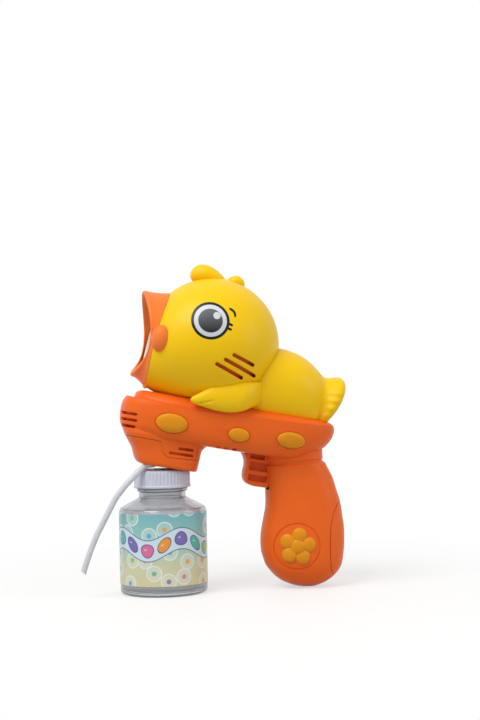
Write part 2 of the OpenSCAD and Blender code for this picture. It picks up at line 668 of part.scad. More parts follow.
// Straight-flanked gear outline
module gear_outline(teeth) {
    r = gear_module * teeth / 2;
    step = 360 / teeth;
    flank = [[-0.3, -1.1], [-0.21, 0], [-0.12, 0.7], [0.12, 0.7], [0.21, 0], [0.3, -1.1]];
    polygon([for (i = [0:teeth - 1], k = flank)
        let (a = step * (i + k[0]), q = r + gear_module * k[1]) [q * cos(a), q * sin(a)]]);
}
module pump_motor() {
    on_pump_axis(pump_motor_u, pinion_y) mirror([0, 0, 1]) can_motor();
}
cradle_u = pump_motor_u + 1;
cradle_half = 5;
floor_w = hull_w + shell_wall + 0.05;
module motor_cradle() {
    seat_w = pump_w - motor_flat / 2 - 0.05;
    color("#E8E4DA") in_gun() {
        translate([cradle_u, pinion_y - cradle_half, floor_w])
            cube([motor_l + 0.6, 2 * cradle_half, seat_w - floor_w]);
        translate([pump_motor_u + motor_l + 0.1, pinion_y - cradle_half, floor_w])
            cube([1.5, 2 * cradle_half, pump_w - 4 - floor_w]);
    }
}
module pump_pinion() {
    color("#F4F1E8") on_pump_axis(0, pinion_y) {
        translate([0, 0, gear_u - 0.3]) linear_extrude(gear_t + 0.6) rotate(90) gear_outline(pinion_teeth);
        translate([0, 0, gear_u - 0.8]) cylinder(d = shaft_d, h = pump_motor_u + 5.5 - gear_u);
    }
}
module pump_rotor() {
    color("#F4F1E8") on_pump_axis(0, pump_y) difference() {
        union() {
            translate([0, 0, gear_u]) linear_extrude(gear_t) rotate(90) gear_outline(gear_teeth);
            translate([0, 0, gear_u - rotor_l]) cylinder(d = axle_d + 2.4, h = rotor_l);
            for (i = [0:2]) rotate(120 * i) translate([roller_orbit, 0, gear_u - rotor_l])
                cylinder(d = roller_d, h = rotor_l);
        }
        translate([0, 0, gear_u - rotor_l - 1]) cylinder(d = axle_d + 2 * run_fit, h = rotor_l + gear_t + 2);
    }
}
module pump_housing() {
    front = gear_u - rotor_l - part_gap - pump_wall;
    color("#E8E4DA") {
        on_pump_axis(0, pump_y) {
            difference() {
                translate([0, 0, front]) cylinder(d = pump_d, h = pump_wall + rotor_l - 0.4);
                translate([0, 0, front + pump_wall]) cylinder(d = pump_bore, h = rotor_l);
                translate([-pump_d / 2 - hose_orbit * sin(30) + 0.5, -pump_d / 2, front + pump_wall])
                    cube([pump_d / 2, pump_d, rotor_l]);
            }
            translate([0, 0, front]) cylinder(d = axle_d, h = pump_wall + rotor_l + gear_t + part_gap);
        }
        in_gun() translate([front, pump_y - 5, floor_w])
            cube([pump_wall, 10, pump_w - pump_d / 2 - floor_w + 1]);
    }
}
// Hose from the cup's nipple round the rollers, and the hose that climbs through the deck to the duct
hose_u = gear_u - rotor_l / 2;
hose_turn = 240;
function hose_point(a) = [hose_u, pump_y + hose_orbit * cos(a), pump_w + hose_orbit * sin(a)];
intake_route = [[socket_u, nipple_y, cup_top + nipple_l + 0.05], [socket_u, nipple_y, 25], [-0.6, -8.2, 31.2],
    [-5.4, -6.6, 34.2], [hose_u + 0.6, -4.8, 32.4]];
module pump_hose() {
    color("#DDE3E6") in_gun() tube(concat(smooth_path(intake_route, 2),
        [for (i = [0:18]) hose_point(150 + hose_turn * i / 18)]), hose_d, 8);
}
duct_foot_w = head_w + duct_rear * 2.3 * sin(head_lean) + (duct_v - duct_d / 2) * cos(head_lean) + 0.2;
feed_route = [hose_point(150 + hose_turn) + [0, -0.1, 0.2], [hose_u + 0.2, 1.6, 33.5], [-7.6, 0.4, 38],
    [-5.4, 0, 43], [-5.1, 0, 47.5], [-5.2, 0, duct_foot_w]];
module feed_hose() {
    color("#DDE3E6") in_gun() tube(smooth_path(feed_route, 2), hose_d, 8);
}

// Oval studs on the hull's flanks: distance, height, length and height of each
studs = [[-1, 26.5, 17.8, 10.9], [37, 25.9, 12.2, 7.9], [67.1, 27.5, 16.8, 9.3]];
stud_proud = 2.2;
function hull_y(u) = let (r = hull_rows[4], t = abs(u - mix(r[1], r[2], 0.5)) / ((r[2] - r[1]) / 2))
    hull_half * r[3] * pow(1 - pow(t, hull_power), 1 / hull_power);
module studs_on(side) {
    color(amber) in_gun() for (s = studs) difference() {
        translate([s[0], side * hull_y(s[0]), s[1]])
            rotate(atan2(side * (hull_y(s[0] + 1) - hull_y(s[0] - 1)), 2))
                scale([s[2] / 2, stud_proud, s[3] / 2]) sphere(r = 1);
        hull_solid(0.02);
    }
}
module studs_left() { studs_on(-1); }
module studs_right() { studs_on(1); }

// Grip: levels from the rounded butt up to the collar under the hull, reaching down to the floor
grip_top = 16.4;
grip_rows = [[-54.3, 84, 93, 0.3], [-53.2, 79.1, 97.8, 0.52], [-51.5, 75.4, 101, 0.68], [-49.6, 72.7, 104, 0.8],
    [-45.7, 68.5, 108, 0.92], [-41.4, 66.1, 110.6, 0.98], [-37.1, 64.2, 111.7, 1], [-28.6, 62.7, 111.5, 1],
    [-18.7, 62.8, 110, 0.98], [-11.7, 62.8, 108, 0.96], [-2.6, 61.2, 105, 0.93], [4.2, 59.3, 101.5, 0.92],
    [8.6, 58.2, 99.4, 0.91], [12.2, 57.3, 97.2, 0.92], [grip_top, 56.3, 94, 0.93], [20.5, 56, 91.3, 0.93],
    [26, 57, 90, 0.92]];
butt = grip_rows[0];
floor_gap = 0.1;
butt_w = (floor_gap - gun_z + butt[2] * sin(gun_tilt)) / cos(gun_tilt);
grip_stretch = (grip_top - butt_w) / (grip_top - butt[0]);
grip_power = 2.4;
function grip_w(w) = w > grip_top ? w : grip_top - (grip_top - w) * grip_stretch;
function grip_loop(r, inset, lift) = oblong(r[1] + inset, r[2] - inset, grip_half * r[3] - inset,
    grip_w(r[0]) + lift, grip_power, 32);
module grip_solid(inset = 0) {
    loft([for (r = grip_rows) grip_loop(r, inset, 0)]);
}
module grip_hollow() {
    loft(concat([for (r = grip_rows) if (r[0] > -53) grip_loop(r, shell_wall, r[0] < -51 ? 0.6 : 0)],
        [grip_loop(grip_rows[len(grip_rows) - 1], shell_wall, 4)]));
}
// Side outline of the battery door at the back of the grip
door_seam = [[102.3, -3.1], [99.9, -9.2], [99, -16.7], [100.2, -28], [101.8, -36], [103.6, -42],
    [106.8, -45.6]];
module door_room(gap) {
    last = len(door_seam) - 1;
    rotate([90, 0, 0]) linear_extrude(100, center = true)
        polygon(concat([[140, grip_w(door_seam[0][1]) - gap]],
            [for (i = [0:last]) let (p = door_seam[i])
                [p[0] + gap, grip_w(p[1]) + gap * (i == 0 ? -1 : i == last ? 1 : 0)]],
            [[140, grip_w(door_seam[last][1]) + gap]]));
}
// Round ring on each side of the grip, and the flower of domes inside it
emblem_u = 81.5;
emblem_w = grip_w(-31.4);
emblem_r = 12.5;
groove = 0.8;
groove_deep = 0.7;
petals = 5;
petal_orbit = 6.4;
petal_r = 4.3;
flower_r = 4.7;
emblem_domes = concat([[0, 0, flower_r]], [for (i = [0:petals - 1]) let (a = 90 + 360 * i / petals)
    [petal_orbit * cos(a), petal_orbit * sin(a), petal_r]]);
dome_proud = 1.8;
// Half width of the grip beside the emblem
function grip_y(u) = let (r = grip_rows[7], t = abs(u - mix(r[1], r[2], 0.5)) / ((r[2] - r[1]) / 2))
    grip_half * pow(1 - pow(t, grip_power), 1 / grip_power);
grip_slot = [40, 68, -2.4];
module grip_half_shell(side) {
    color(orange) in_gun() half(side) difference() {
        grip_solid();
        grip_hollow();
        hull_solid(0.1);
        door_room(0);
        translate([grip_slot[0], -trigger_room, grip_slot[2]])
            cube([grip_slot[1] - grip_slot[0], 2 * trigger_room, 40]);
        difference() {
            translate([emblem_u, 0, emblem_w]) rotate([-side * 90, 0, 0]) difference() {
                cylinder(r = emblem_r + groove, h = 30);
                translate([0, 0, -1]) cylinder(r = emblem_r, h = 32);
            }
            grip_solid(groove_deep);
        }
    }
}
module grip_left() { grip_half_shell(-1); }
module grip_right() { grip_half_shell(1); }
module emblem(side) {
    color(amber) in_gun() difference() {
        for (d = emblem_domes) let (u = emblem_u + d[0])
            translate([u, side * (grip_y(u) - 0.3), emblem_w + d[1]])
                rotate(atan2(side * (grip_y(u + 1) - grip_y(u - 1)), 2))
                    scale([d[2], dome_proud, d[2]]) sphere(r = 1);
        grip_solid();
    }
}
module emblem_left() { emblem(-1); }
module emblem_right() { emblem(1); }
module battery_door() {
    color(orange) in_gun() difference() {
        intersection() {
            grip_solid();
            door_room(part_gap);
        }
        grip_hollow();
    }
}

// Round holder for three AAA cells, leaning with the grip and open towards the door
cell_d = 10.5;
cell_l = 44.5;
cell_orbit = cell_d / sqrt(3) + 0.1;
tray_wall = 1.2;
tray_end = 1.6;
contact_l = 2;
tray_bore = 2 * cell_orbit + cell_d + 0.2;
tray_d = tray_bore + 2 * tray_wall;
tray_l = cell_l + 2 * contact_l + 2 * tray_end;
pack_u = 86.5;
pack_w = grip_w(-17);
pack_lean = -11.4;
module in_pack() {
    in_gun() translate([pack_u, 0, pack_w]) rotate([0, pack_lean, 0]) children();
}
module cell_places() {
    for (a = [0, 120, 240]) rotate(a) translate([cell_orbit, 0, 0]) children();
}
module battery_tray() {
    color(black) in_pack() difference() {
        translate([0, 0, -tray_l / 2]) cylinder(d = tray_d, h = tray_l);
        translate([0, 0, tray_end - tray_l / 2]) cylinder(d = tray_bore, h = tray_l - 2 * tray_end);
        translate([cell_orbit, -tray_d, tray_end - tray_l / 2])
            cube([tray_d, 2 * tray_d, tray_l - 2 * tray_end]);
    }
}
module battery_cells() {
    color("#C9A24A") in_pack() cell_places() {
        translate([0, 0, -cell_l / 2]) cylinder(d = cell_d, h = cell_l - 1);
        translate([0, 0, -cell_l / 2]) cylinder(d = 3.6, h = cell_l);
    }
}
module battery_contacts() {
    color(steel) in_pack() cell_places() for (e = [-1, 1]) {
        translate([0, 0, e * (cell_l / 2 + contact_l / 2)]) cylinder(d = 4, h = contact_l, center = true);
        translate([0, 0, e * (cell_l / 2 + contact_l - 0.25)]) cylinder(d = 8, h = 0.5, center = true);
    }
}

// Trigger: a ribbed blade on a cross pin, with a return spring and a push switch behind it
trigger_back = 62;
trigger_outline = [[44.2, 16.2], [46.3, 12.9], [47, 9.3], [46.8, 4.6], [47.7, 1.2], [49.9, -0.9], [53, -1.6],
    [trigger_back - 1.2, -1.5], [trigger_back, 0.6], [trigger_back, 14], [58.6, 17], [57.4, 21], [56, 24],
    [52.5, 25.2], [49, 24], [47.6, 21], [47, 16.2]];
trigger_pockets = [[13.8, 17.2, 48.4, 57], [7.2, 12.2, 48.8, 60], [1.2, 4.9, 49, 60]];
web_t = 2.4;
module trigger() {
    color(orange) in_gun() difference() {
        rotate([90, 0, 0]) linear_extrude(trigger_t, center = true) polygon(trigger_outline);
        for (p = trigger_pockets, e = [-1, 1])
            translate([p[2] + trigger_wall - 2, e > 0 ? web_t / 2 : -web_t / 2 - 20, p[0]])
                cube([p[3] - p[2], 20, p[1] - p[0]]);
        translate([trigger_u, 0, trigger_w]) rotate([90, 0, 0])
            cylinder(d = trigger_pin_d + 2 * run_fit, h = 2 * trigger_t, center = true);
    }
}
module trigger_pin() {
    color(steel) in_gun() translate([trigger_u, 0, trigger_w]) rotate([90, 0, 0])
        cylinder(d = trigger_pin_d, h = 2 * (trigger_room + pin_seat), center = true);
}
spring_w = 4;
spring_d = 5;
spring_wire = 0.7;
spring_turns = 5;
spring_from = trigger_back + part_gap + spring_wire / 2;
spring_to = trigger_back + 6.6;
module trigger_spring() {
    steps = 8;
    color(steel) in_gun() tube([for (i = [0:spring_turns * steps]) let (a = 360 * i / steps)
        [mix(spring_from, spring_to, i / (spring_turns * steps)), (spring_d - spring_wire) / 2 * cos(a),
         spring_w + (spring_d - spring_wire) / 2 * sin(a)]], spring_wire, 6);
}
switch_u = trigger_back + 4;
switch_w = 12;
switch_size = [6, 6, 6];
plunger_d = 2.4;
module trigger_switch() {
    color(black) in_gun() difference() {
        translate([switch_u, -switch_size[1] / 2, switch_w - switch_size[2] / 2]) cube(switch_size);
        translate([switch_u - 1, 0, switch_w]) rotate([0, 90, 0]) cylinder(d = plunger_d + 2 * run_fit, h = 5);
    }
}
module switch_plunger() {
    color("#B03A2E") in_gun() translate([trigger_back + part_gap, 0, switch_w]) rotate([0, 90, 0])
        cylinder(d = plunger_d, h = switch_u + 2 - trigger_back - part_gap);
}

bottle();
bubble_solution();
bottle_label();
bottle_cap();
cap_liner();
hull_left();
hull_right();
tank_socket();
socket_cup();
socket_seal();
suction_tube();
top_deck();
head_left();
head_right();
duck_back();
crest();
wing_left();
wing_right();
beak();
bubble_nozzle();
air_duct();
motor_mount();
blower_motor();
fan_wheel();
pump_motor();
motor_cradle();
pump_pinion();
pump_rotor();
pump_housing();
pump_hose();
feed_hose();
studs_left();
studs_right();
grip_left();
grip_right();
emblem_left();
emblem_right();
battery_tray();
battery_cells();
battery_contacts();
battery_door();
trigger();
trigger_pin();
trigger_spring();
trigger_switch();
switch_plunger();
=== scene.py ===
import math

import bmesh
import bpy
from mathutils import Matrix, Vector


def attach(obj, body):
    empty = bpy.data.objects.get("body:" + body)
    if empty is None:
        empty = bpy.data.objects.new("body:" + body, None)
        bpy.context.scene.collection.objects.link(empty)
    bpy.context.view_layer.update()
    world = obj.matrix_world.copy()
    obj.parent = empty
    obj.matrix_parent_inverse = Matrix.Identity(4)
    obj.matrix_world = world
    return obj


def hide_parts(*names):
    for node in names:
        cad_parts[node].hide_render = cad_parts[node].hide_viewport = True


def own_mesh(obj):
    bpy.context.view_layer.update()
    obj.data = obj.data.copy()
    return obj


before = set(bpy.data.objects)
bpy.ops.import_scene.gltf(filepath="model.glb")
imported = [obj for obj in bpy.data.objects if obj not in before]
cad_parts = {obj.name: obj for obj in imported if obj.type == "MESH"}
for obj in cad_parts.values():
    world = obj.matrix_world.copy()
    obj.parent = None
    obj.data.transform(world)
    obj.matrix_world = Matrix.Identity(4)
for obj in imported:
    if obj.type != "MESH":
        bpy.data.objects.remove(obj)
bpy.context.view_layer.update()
MM = 0.001
scene = bpy.context.scene
scene.view_settings.view_transform = "Standard"

# Camera
# A short telephoto from the left of the toy, a little towards its beak and just below the middle
# of it, as the picture was taken. It stands slightly askew, so it is rolled by a degree.
CAMERA_PLACE = (-0.076, -0.80, 0.1124)
CAMERA_AIM = (0.0465, 0.0, 0.1311)
CAMERA_ROLL = math.radians(-1.3)
LENS_MM = 70.3
camera = bpy.data.objects.new("camera", bpy.data.cameras.new("camera"))
camera.data.lens = LENS_MM
sight = (Vector(CAMERA_AIM) - Vector(CAMERA_PLACE)).to_track_quat("-Z", "Y").to_matrix().to_4x4()
camera.matrix_world = Matrix.Translation(CAMERA_PLACE) @ sight @ Matrix.Rotation(CAMERA_ROLL, 4, "Z")
scene.collection.objects.link(camera)
scene.camera = camera

# Suction tube
# A limp length of clear vinyl tubing that hangs from the nipple inside the gun's socket over the
# front of the cap. Extruded, cut off on the slant, with a milky wall that lets some light through.
GUN_LEAN = math.radians(10.5)
GUN_LIFT = 70.02865
TUBE_D = 3.3
TUBE_BORE = 2.1
END_SLANT = 0.35
TUBE_ROUTE = [
    (2.4, -8, 13.45), (2.4, -8, 11.2), (0.8, -8.3, 7), (-2.6, -8.8, 3.8), (-6.2, -9.4, 2), (-9.3, -10.2, 1),
    (-11.3, -11, -0.2), (-13.3, -12, -2.4), (-15.4, -12.9, -5.3), (-20.2, -13.6, -12.2),
    (-24.1, -13.9, -19.5), (-26, -14, -24.8), (-28.6, -14, -33.1), (-31.2, -14, -41.3),
    (-32.8, -14, -48.2), (-34.3, -14, -56.3), (-35.2, -14, -63.1),
]


def gun_point(u, y, w):
    """A place on the leaning gun, u to the rear, y across and w up in mm, as metres in the frame."""
    x = u * math.cos(GUN_LEAN) + w * math.sin(GUN_LEAN)
    z = w * math.cos(GUN_LEAN) - u * math.sin(GUN_LEAN) + GUN_LIFT
    return Vector((x, y, z)) * MM


def eased(points, steps):
    """A smooth curve through the points, as rows of numbers, with that many steps from each to the next."""
    rows = [[*points[0]]]
    last = len(points) - 1
    for i in range(last):
        four = [points[max(0, i - 1)], points[i], points[i + 1], points[min(last, i + 2)]]
        for k in range(1, steps + 1):
            t = k / steps
            shares = (-t + 2 * t**2 - t**3, 2 - 5 * t**2 + 3 * t**3, t + 4 * t**2 - 3 * t**3, t**3 - t**2)
            rows.append([sum(s * p[j] for s, p in zip(shares, four)) / 2 for j in range(len(points[0]))])
    return rows


def new_piece(name, verts, faces, smooth_angle=40):
    """A mesh object in the frame, with its faces turned outward and soft below that angle."""
    mesh = bpy.data.meshes.new(name)
    mesh.from_pydata([tuple(v) for v in verts], [], faces)
    work = bmesh.new()
    work.from_mesh(mesh)
    bmesh.ops.remove_doubles(work, verts=work.verts, dist=1e-7)
    bmesh.ops.recalc_face_normals(work, faces=work.faces)
    work.to_mesh(mesh)
    work.free()
    mesh.shade_smooth()
    mesh.set_sharp_from_angle(angle=math.radians(smooth_angle))
    piece = bpy.data.objects.new(name, mesh)
    scene.collection.objects.link(piece)
    return piece


def skin(rings, closed=False, ends=True):
    """Faces over rings of equal count: closed joins the last ring to the first, ends caps them."""
    count = len(rings[0])
    verts = [p for ring in rings for p in ring]
    spans = len(rings) if closed else len(rings) - 1
    faces = []
    for i in range(spans):
        a, b = i * count, (i + 1) % len(rings) * count
        faces += [(a + k, a + (k + 1) % count, b + (k + 1) % count, b + k) for k in range(count)]
    if ends and not closed:
        faces += [tuple(range(count))[::-1], tuple(len(verts) - count + k for k in range(count))]
    return verts, faces


def linear(code):
    """An sRGB hex colour as linear RGBA."""
    parts = [int(code[i:i + 2], 16) / 255 for i in (1, 3, 5)]
    return (*[c / 12.92 if c <= 0.04045 else ((c + 0.055) / 1.055)**2.4 for c in parts], 1)


def feed(node, inputs):
    """Sets a node's inputs: plain values as they are, links for sockets and for nodes' first outputs."""
    for key, value in inputs.items():
        if isinstance(value, bpy.types.Node):
            value = next(socket for socket in value.outputs if socket.enabled)
        if isinstance(value, bpy.types.NodeSocket):
            node.id_data.links.new(value, node.inputs[key])
        else:
            node.inputs[key].default_value = value


def add_node(tree, kind, inputs=None, **settings):
    """One shader node: settings are its attributes, inputs what feeds it."""
    new = tree.nodes.new("ShaderNode" + kind)
    for key, value in settings.items():
        setattr(new, key, value)
    feed(new, inputs or {})
    return new


def surface(name, values, tint=None, gloss=None, relief=None):
    """A material with even values. Noise of a size in mm and a detail can cloud its colour between two,
    drift its roughness between two, and raise a relief of some strength and depth in mm."""
    made = bpy.data.materials.new(name)
    made.use_nodes = True
    tree = made.node_tree
    tree.nodes.clear()
    shader = add_node(tree, "BsdfPrincipled", values)
    add_node(tree, "OutputMaterial", {"Surface": shader})
    place = add_node(tree, "TexCoord").outputs["Object"]
    for socket, given in (("Base Color", tint), ("Roughness", gloss), ("Normal", relief)):
        if given is None:
            continue
        size, detail, first, second, *spread = given
        noise = add_node(tree, "TexNoise", {"Vector": place, "Scale": 1 / (size * MM), "Detail": detail})
        if socket == "Base Color":
            inputs = {"Factor": noise, "A": linear(first), "B": linear(second)}
            shaped = add_node(tree, "Mix", inputs, data_type="RGBA")
        elif socket == "Roughness":
            least, most = spread or (0, 1)
            shaped = add_node(tree, "MapRange", {"Value": noise, "From Min": least, "From Max": most,
                                                 "To Min": first, "To Max": second})
        else:
            shaped = add_node(tree, "Bump", {"Height": noise, "Strength": first, "Distance": second * MM})
        feed(shader, {socket: shaped})
    return made


def finish_piece(piece, material, body, slot, *nodes):
    """Gives a piece its material and the body that it rides on, and hides the nodes that it stands for. The
    slot is not used.
    """
    piece.data.materials.append(material)
    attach(piece, body)
    if nodes:
        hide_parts(*nodes)
    return piece


def turns(sides):
    """Even angles once round."""
    return [math.tau * k / sides for k in range(sides)]


def line_steps(line):
    """Each point of a line with the directions across, up from and along it, and its slant at the end."""
    steps = []
    across = Vector((0, 1, 0))
    for i, point in enumerate(line):
        along = (line[min(i + 1, len(line) - 1)] - line[max(i - 1, 0)]).normalized()
        across = (across - along * across.dot(along)).normalized()
        steps.append((point, across, along.cross(across), along, END_SLANT if i == len(line) - 1 else 0))
    return steps


def tube_ring(step, radius, sides=20):
    """One round of the tube's outer or inner wall; the last one is cut on the slant."""
    point, across, lift, along, cut = step
    slanted = lift + along * cut
    return [point + (across * math.cos(a) + slanted * math.sin(a)) * radius for a in turns(sides)]


# Milky clear vinyl: a soft gloss that lets a little light through, and a faint grain from the drawing,
# coarser here than in life so that it shows.
clear_vinyl = surface("clear_vinyl_tubing", {"Roughness": 0.3, "IOR": 1.45, "Transmission Weight": 0.15},
                      tint=(9, 3, "#DADDE3", "#E7E9ED"), relief=(0.6, 2, 0.02, 0.1))
tube_line = [gun_point(*p) for p in eased(TUBE_ROUTE, 6)]
tube_steps = line_steps(tube_line)
outer_wall = [tube_ring(step, TUBE_D / 2 * MM) for step in tube_steps]
inner_wall = [tube_ring(step, TUBE_BORE / 2 * MM) for step in tube_steps]
tube = new_piece("suction_tube_cord", *skin(outer_wall + inner_wall[::-1], closed=True))
finish_piece(tube, clear_vinyl, "gun", "tube_silicone", "suction_tube")

# Bottle
# A blow-moulded PET bottle with a thick base, a sloping shoulder and a carrying bead on its neck.
# It stands on the table and carries everything else.
BOTTLE_R = 24.75
BOTTLE_SIDE = 46
BOTTLE_WALL = 1.6
BOTTLE_BASE = 2.2
BASE_CORNER = 2.5
BASE_PUSH_UP = 1.2
SHOULDER = 8.4
SLOPE = [(0, 0), (0.01, 0.12), (0.06, 0.25), (0.14, 0.35), (0.83, 0.86), (0.93, 0.92), (0.98, 0.97), (1, 1)]
NECK_R = 13.25
NECK_BORE = 11.25
BEAD = (57.6, 59.2, 14.35)
LIP = 66.8


def oval(x, y, half_x, half_y, sides=48):
    """Points of an oval round a place."""
    return [(x + half_x * math.cos(a), y + half_y * math.sin(a)) for a in turns(sides)]


def turned(profile, sides=96):
    """Rings of a turned piece, from its radius and height in mm along the profile."""
    return [[Vector((x, y, z)) * MM for x, y in oval(0, 0, r, r, sides)] for r, z in profile]


def arc(centre_r, centre_z, radius, start, stop, steps=8):
    """Points of a quarter round in a profile, between two angles in degrees."""
    angles = [math.radians(start + (stop - start) * k / steps) for k in range(steps + 1)]
    return [(centre_r + radius * math.cos(a), centre_z + radius * math.sin(a)) for a in angles]


# Clear blown PET: glossy and water-clear, with a grey cast and slow waves from blowing.
clear_pet = surface("clear_pet", {"Base Color": linear("#DFE1E5"), "IOR": 1.57, "Transmission Weight": 0.76},
                    gloss=(5, 4, 0.02, 0.09), relief=(14, 1, 0.25, 0.8))
inner_r = BOTTLE_R - BOTTLE_WALL
bottle_outside = (
    [(0, BASE_PUSH_UP), (BOTTLE_R * 0.6, BASE_PUSH_UP * 0.8), (BOTTLE_R - 4.5, 0.2), (BOTTLE_R - 3.6, 0)]
    + arc(BOTTLE_R - BASE_CORNER, BASE_CORNER, BASE_CORNER, -90, 0)
    + [(BOTTLE_R + (NECK_R - BOTTLE_R) * i, BOTTLE_SIDE + SHOULDER * up) for i, up in eased(SLOPE, 3)]
    + [(NECK_R, BEAD[0] - 0.4)]
    + [(BEAD[2] - 0.3, BEAD[0]), (BEAD[2], BEAD[0] + 0.4)]
    + [(BEAD[2], BEAD[1] - 0.4), (BEAD[2] - 0.3, BEAD[1])]
    + [(NECK_R, BEAD[1] + 0.3), (NECK_R, LIP - 0.5), (NECK_R - 0.5, LIP)]
)
bottle_inside = (
    [(NECK_BORE + 0.4, LIP), (NECK_BORE, LIP - 0.4)]
    + [(inner_r + (NECK_BORE - inner_r) * i, BOTTLE_SIDE - BOTTLE_WALL / 2 + SHOULDER * up)
       for i, up in eased(SLOPE, 3)[::-1]]
    + arc(inner_r - BASE_CORNER, BOTTLE_BASE + BASE_CORNER, BASE_CORNER, 0, -90)
    + [(inner_r * 0.6, BOTTLE_BASE + 0.3), (0, BOTTLE_BASE + 0.6)]
)
bottle = new_piece("bottle_shell", *skin(turned(bottle_outside + bottle_inside), ends=False), 35)
finish_piece(bottle, clear_pet, "bottle", "clear_bottle", "bottle")

# Bubble solution
# Thin soapy water that fills the bottle to just above the label. It wets the wall all round and
# creeps up it a little at the top.
SOLUTION_TOP = 45
CREEP = 0.5
WET = 0.04
# Clear soapy water: smooth, with a trace of haze.
soapy_water = surface("soapy_water", {"Roughness": 0, "IOR": 1.34, "Transmission Weight": 0.85},
                      tint=(20, 2, "#E6EDEC", "#F2F6F5"))
wet_r = inner_r + WET
solution_profile = (
    [(0, BOTTLE_BASE + 0.6 - WET), (inner_r * 0.6, BOTTLE_BASE + 0.3 - WET)]
    + arc(wet_r - BASE_CORNER, BOTTLE_BASE + BASE_CORNER - WET, BASE_CORNER, -90, 0)
    + [(wet_r, SOLUTION_TOP - 1), (wet_r, SOLUTION_TOP)]
    + [(wet_r - 0.6, SOLUTION_TOP - CREEP * 0.6), (wet_r - 1.6, SOLUTION_TOP - CREEP)]
    + [(0, SOLUTION_TOP - CREEP)]
)
solution = new_piece("solution_fill", *skin(turned(solution_profile), ends=False), 50)
finish_piece(solution, soapy_water, "bottle", "solution", "bubble_solution")

# Label
# A printed film label, wrapped round the bottle and lapped at the back. The print runs from teal
# down to straw, with a waving ribbon of candy-coloured drops and loose bubbles round it.
LABEL_LOW = 6.2
LABEL_HIGH = 46
LABEL_T = 0.2
LABEL_GAP = 0.02
LABEL_LAP = math.radians(4)
LAP_FROM = 0.97
LABEL_STEPS = 120
RIBBON_MID = 23
RIBBON_HALF = 5.6
RIBBON_SWING = 3.4
RIBBON_WAVE = 38.5
DROP_PITCH = 9.6
DROP_R = 3.4
BUBBLE_PITCH = 12.5
BUBBLE_R = 4.2
BUBBLE_RIM = 0.35
BUBBLE_LOOSE = 0.75
BUBBLE_HEART = 0.32
DROP_FLAT = 0.9
DROP_GLINT = (-1.1, 1.2, 0)
DROP_GLINT_R = 0.8
OUTLINE = 0.5
INK_EDGE = 0.15
GROUND = ((0, "#DBD3A6"), (1, "#78B9C2"), (0.25, "#D3D3AE"), (0.62, "#9CCBC0"))
CANDY = ("#DE6FA0", "#F09A2E", "#7A6BB5", "#3FA9D8", "#8CC152", "#4FB5A8")
label_inner = (BOTTLE_R + LABEL_GAP) * MM
label_outer = (BOTTLE_R + LABEL_T) * MM


def label_column(step):
    """One upright of the label: its inner low and high edge and its outer high and low edge."""
    share = step / LABEL_STEPS
    a = math.pi / 2 - LABEL_LAP / 2 + share * (math.tau + LABEL_LAP)
    lap = LABEL_T * MM * 0.5 * max(0, (share - LAP_FROM) / (1 - LAP_FROM))
    ends = ((label_inner, LABEL_LOW), (label_inner, LABEL_HIGH), (label_outer, LABEL_HIGH),
            (label_outer, LABEL_LOW))
    return [Vector(((r + lap) * math.cos(a), (r + lap) * math.sin(a), z * MM)) for r, z in ends]


label = new_piece("label_film", *skin([label_column(k) for k in range(LABEL_STEPS + 1)]), 30)
label_map = label.data.uv_layers.new(name="print")
for corner in label.data.loops:
    turn = corner.vertex_index // 4 / LABEL_STEPS * (math.tau + LABEL_LAP)
    height = label.data.vertices[corner.vertex_index].co.z / MM - LABEL_LOW
    label_map.data[corner.index].uv = (turn * BOTTLE_R, height)


def set_stops(ramp, stops):
    """Gives a colour ramp its places and colours."""
    for i, (place, code) in enumerate(stops):
        stop = ramp.elements[i] if i < 2 else ramp.elements.new(place)
        stop.position = place
        stop.color = linear(code)


